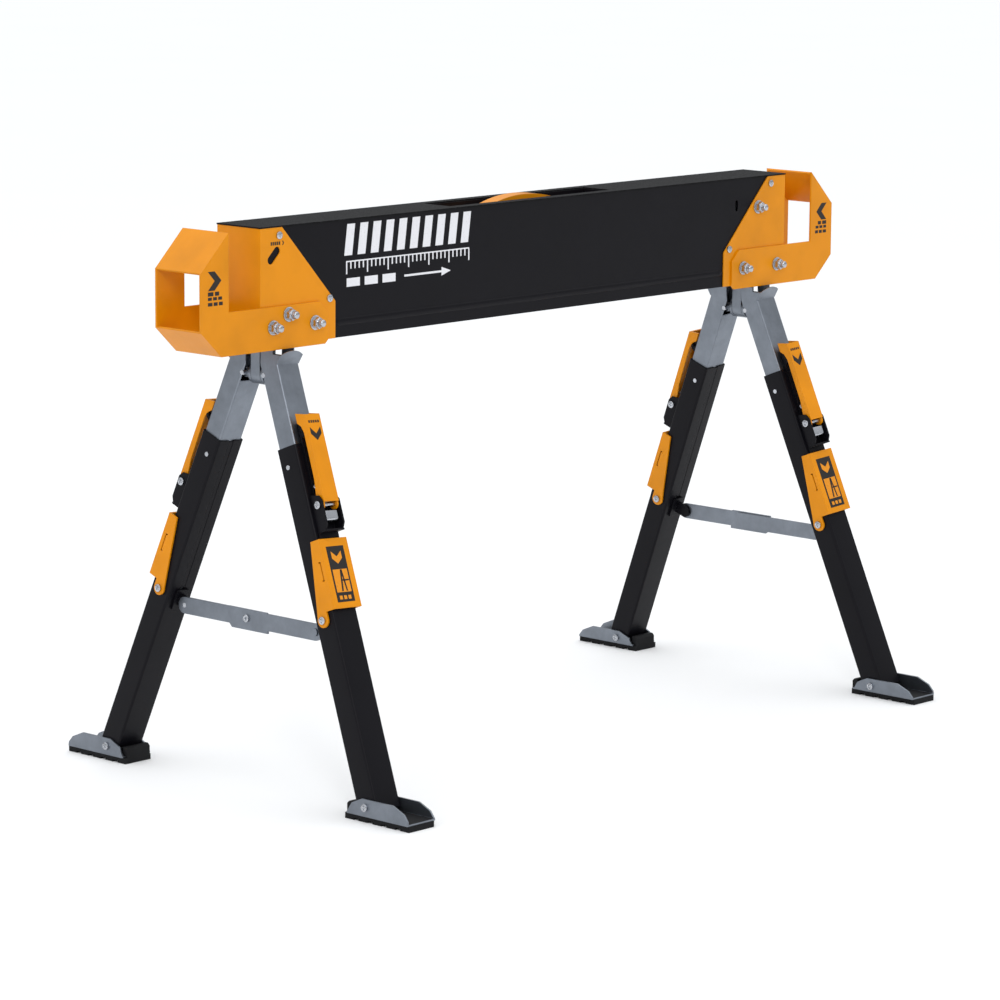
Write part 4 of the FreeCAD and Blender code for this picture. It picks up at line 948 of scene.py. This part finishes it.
# ---------------------------------------------------------------- stage
LIGHT_AIM = np.array([0.0, 0.0, 0.35])
WALL_LIGHT = 0.30             # of the room's light, level with the floor
CEILING_LIGHT = 1.6           # straight overhead
FLOOR_RINGS = np.array([0.0, 2.0, 8.0, 40.0])


class AddStage(bpy.types.Operator):
    """Adds the pale floor, the soft studio lights and the camera"""

    bl_idname = "sawhorse.add_stage"
    bl_label = "Add stage"

    def execute(self, context):
        studio = context.scene.sawhorse_studio
        self.add_floor()
        self.add_world(context.scene, studio.world_light)
        self.add_softbox("Key light", (-3.1, -3.3, 2.7), 0.8, studio.key_light)
        self.add_softbox("Fill light", (-4.2, 0.4, 1.6), 2.2, studio.fill_light)
        self.add_softbox("Top light", (0.4, 0.6, 3.6), 3.2, studio.top_light)
        self.add_camera(context.scene, studio)
        # Plain sRGB display, so that the hex colours of the coatings are the colours seen in white light.
        context.scene.view_settings.view_transform = "Standard"
        return {"FINISHED"}

    def add_floor(self):
        """Flat round floor: a disc far wider than the view, on the plane the feet stand on."""
        height = np.full(len(FLOOR_RINGS), CAD_BOX[0][2])
        shape = turned_shape(FLOOR_RINGS, height, np.zeros(3), X_AXIS, Z_AXIS, Y_AXIS, 64)
        mesh = bpy.data.meshes.new("floor")
        mesh.from_pydata(shape[0].tolist(), [], shape[1])
        mesh.materials.append(finish("floor"))
        floor = bpy.data.objects.new("floor", mesh)
        bpy.context.scene.collection.objects.link(floor)

    def add_world(self, scene, strength):
        """Pale room whose ceiling is brighter than its walls, as under a large overhead scrim."""
        world = bpy.data.worlds.new("Pale room")
        world.use_nodes = True
        tree = world.node_tree
        direction = add_node(tree, "ShaderNodeTexCoord").outputs["Generated"]
        height = add_node(tree, "ShaderNodeSeparateXYZ", None, {"Vector": direction}).outputs["Z"]
        light = add_node(tree, "ShaderNodeMapRange",
                         {"To Min": WALL_LIGHT * strength, "To Max": CEILING_LIGHT * strength},
                         {"Value": height})
        background = tree.nodes["Background"]
        background.inputs["Color"].default_value = (0.96, 0.98, 1.0, 1.0)
        tree.links.new(light.outputs["Result"], background.inputs["Strength"])
        scene.world = world

    def add_softbox(self, name, place, size, power):
        """Square area light aimed at the middle of the object."""
        light = bpy.data.lights.new(name, "AREA")
        light.energy = power
        light.size = size
        lamp = bpy.data.objects.new(name, light)
        place = np.array(place)
        back = place - LIGHT_AIM
        back /= np.linalg.norm(back)
        side = np.cross(Z_AXIS, back)
        side /= np.linalg.norm(side)
        lamp.matrix_world = placed(side, np.cross(back, side), back, place)
        bpy.context.scene.collection.objects.link(lamp)

    def add_camera(self, scene, studio):
        """Long lens a little above the object's height, in front of its left end."""
        level = math.cos(studio.elevation)
        ahead = np.array([-math.sin(studio.azimuth) * level, math.cos(studio.azimuth) * level,
                          -math.sin(studio.elevation)])
        right = np.cross(ahead, Z_AXIS)
        right /= np.linalg.norm(right)
        up = np.cross(right, ahead)
        cosine, sine = math.cos(studio.roll), math.sin(studio.roll)
        right, up = cosine * right + sine * up, cosine * up - sine * right
        lens = bpy.data.cameras.new("Camera")
        lens.lens = studio.lens
        lens.sensor_width = 36.0
        lens.clip_end = 200.0
        camera = bpy.data.objects.new("Camera", lens)
        camera.matrix_world = placed(right, up, -ahead, np.array(studio.place))
        bpy.context.scene.collection.objects.link(camera)
        scene.camera = camera


def placed(x_axis, y_axis, z_axis, place):
    """Matrix with those axes and place as columns."""
    matrix = np.eye(4)
    matrix[:3, 0], matrix[:3, 1], matrix[:3, 2], matrix[:3, 3] = x_axis, y_axis, z_axis, place
    return Matrix(matrix.tolist())


# ---------------------------------------------------------------- panel
STEPS = (FinishFrameParts, AddBoltEnds, AddScrewHeads, AddBraceRivets, AddBeamRibs, AddGuideStrips,
         AddLockDogs, AddLockWires, AddBeamPrint, AddArmPrint, AddLegPrint, AddStage)


class SawhorsePanel(bpy.types.Panel):
    """Lists the steps and settings of the sawhorse"""

    bl_idname = "VIEW3D_PT_sawhorse"
    bl_label = "Sawhorse"
    bl_space_type = "VIEW_3D"
    bl_region_type = "UI"
    bl_category = "Sawhorse"

    def draw(self, context):
        for step in STEPS:
            self.layout.operator(step.bl_idname)
        scene = context.scene
        for group in (scene.sawhorse_colours, scene.sawhorse_details, scene.sawhorse_studio):
            for name in group.__annotations__:
                self.layout.prop(group, name)


GROUPS = (SawhorseColours, SawhorseDetails, SawhorseStudio)


def register():
    """Registers the settings, steps and panel."""
    for item in GROUPS + STEPS + (SawhorsePanel,):
        bpy.utils.register_class(item)
    bpy.types.Scene.sawhorse_colours = bpy.props.PointerProperty(type=SawhorseColours)
    bpy.types.Scene.sawhorse_details = bpy.props.PointerProperty(type=SawhorseDetails)
    bpy.types.Scene.sawhorse_studio = bpy.props.PointerProperty(type=SawhorseStudio)


def unregister():
    """Takes the settings, steps and panel out again."""
    for name in ("sawhorse_studio", "sawhorse_details", "sawhorse_colours"):
        delattr(bpy.types.Scene, name)
    for item in reversed(GROUPS + STEPS + (SawhorsePanel,)):
        bpy.utils.unregister_class(item)


def main():
    """Builds the whole scene."""
    register()
    for step in STEPS:
        group, name = step.bl_idname.split(".")
        getattr(getattr(bpy.ops, group), name)()


if __name__ == "__main__":
    main()
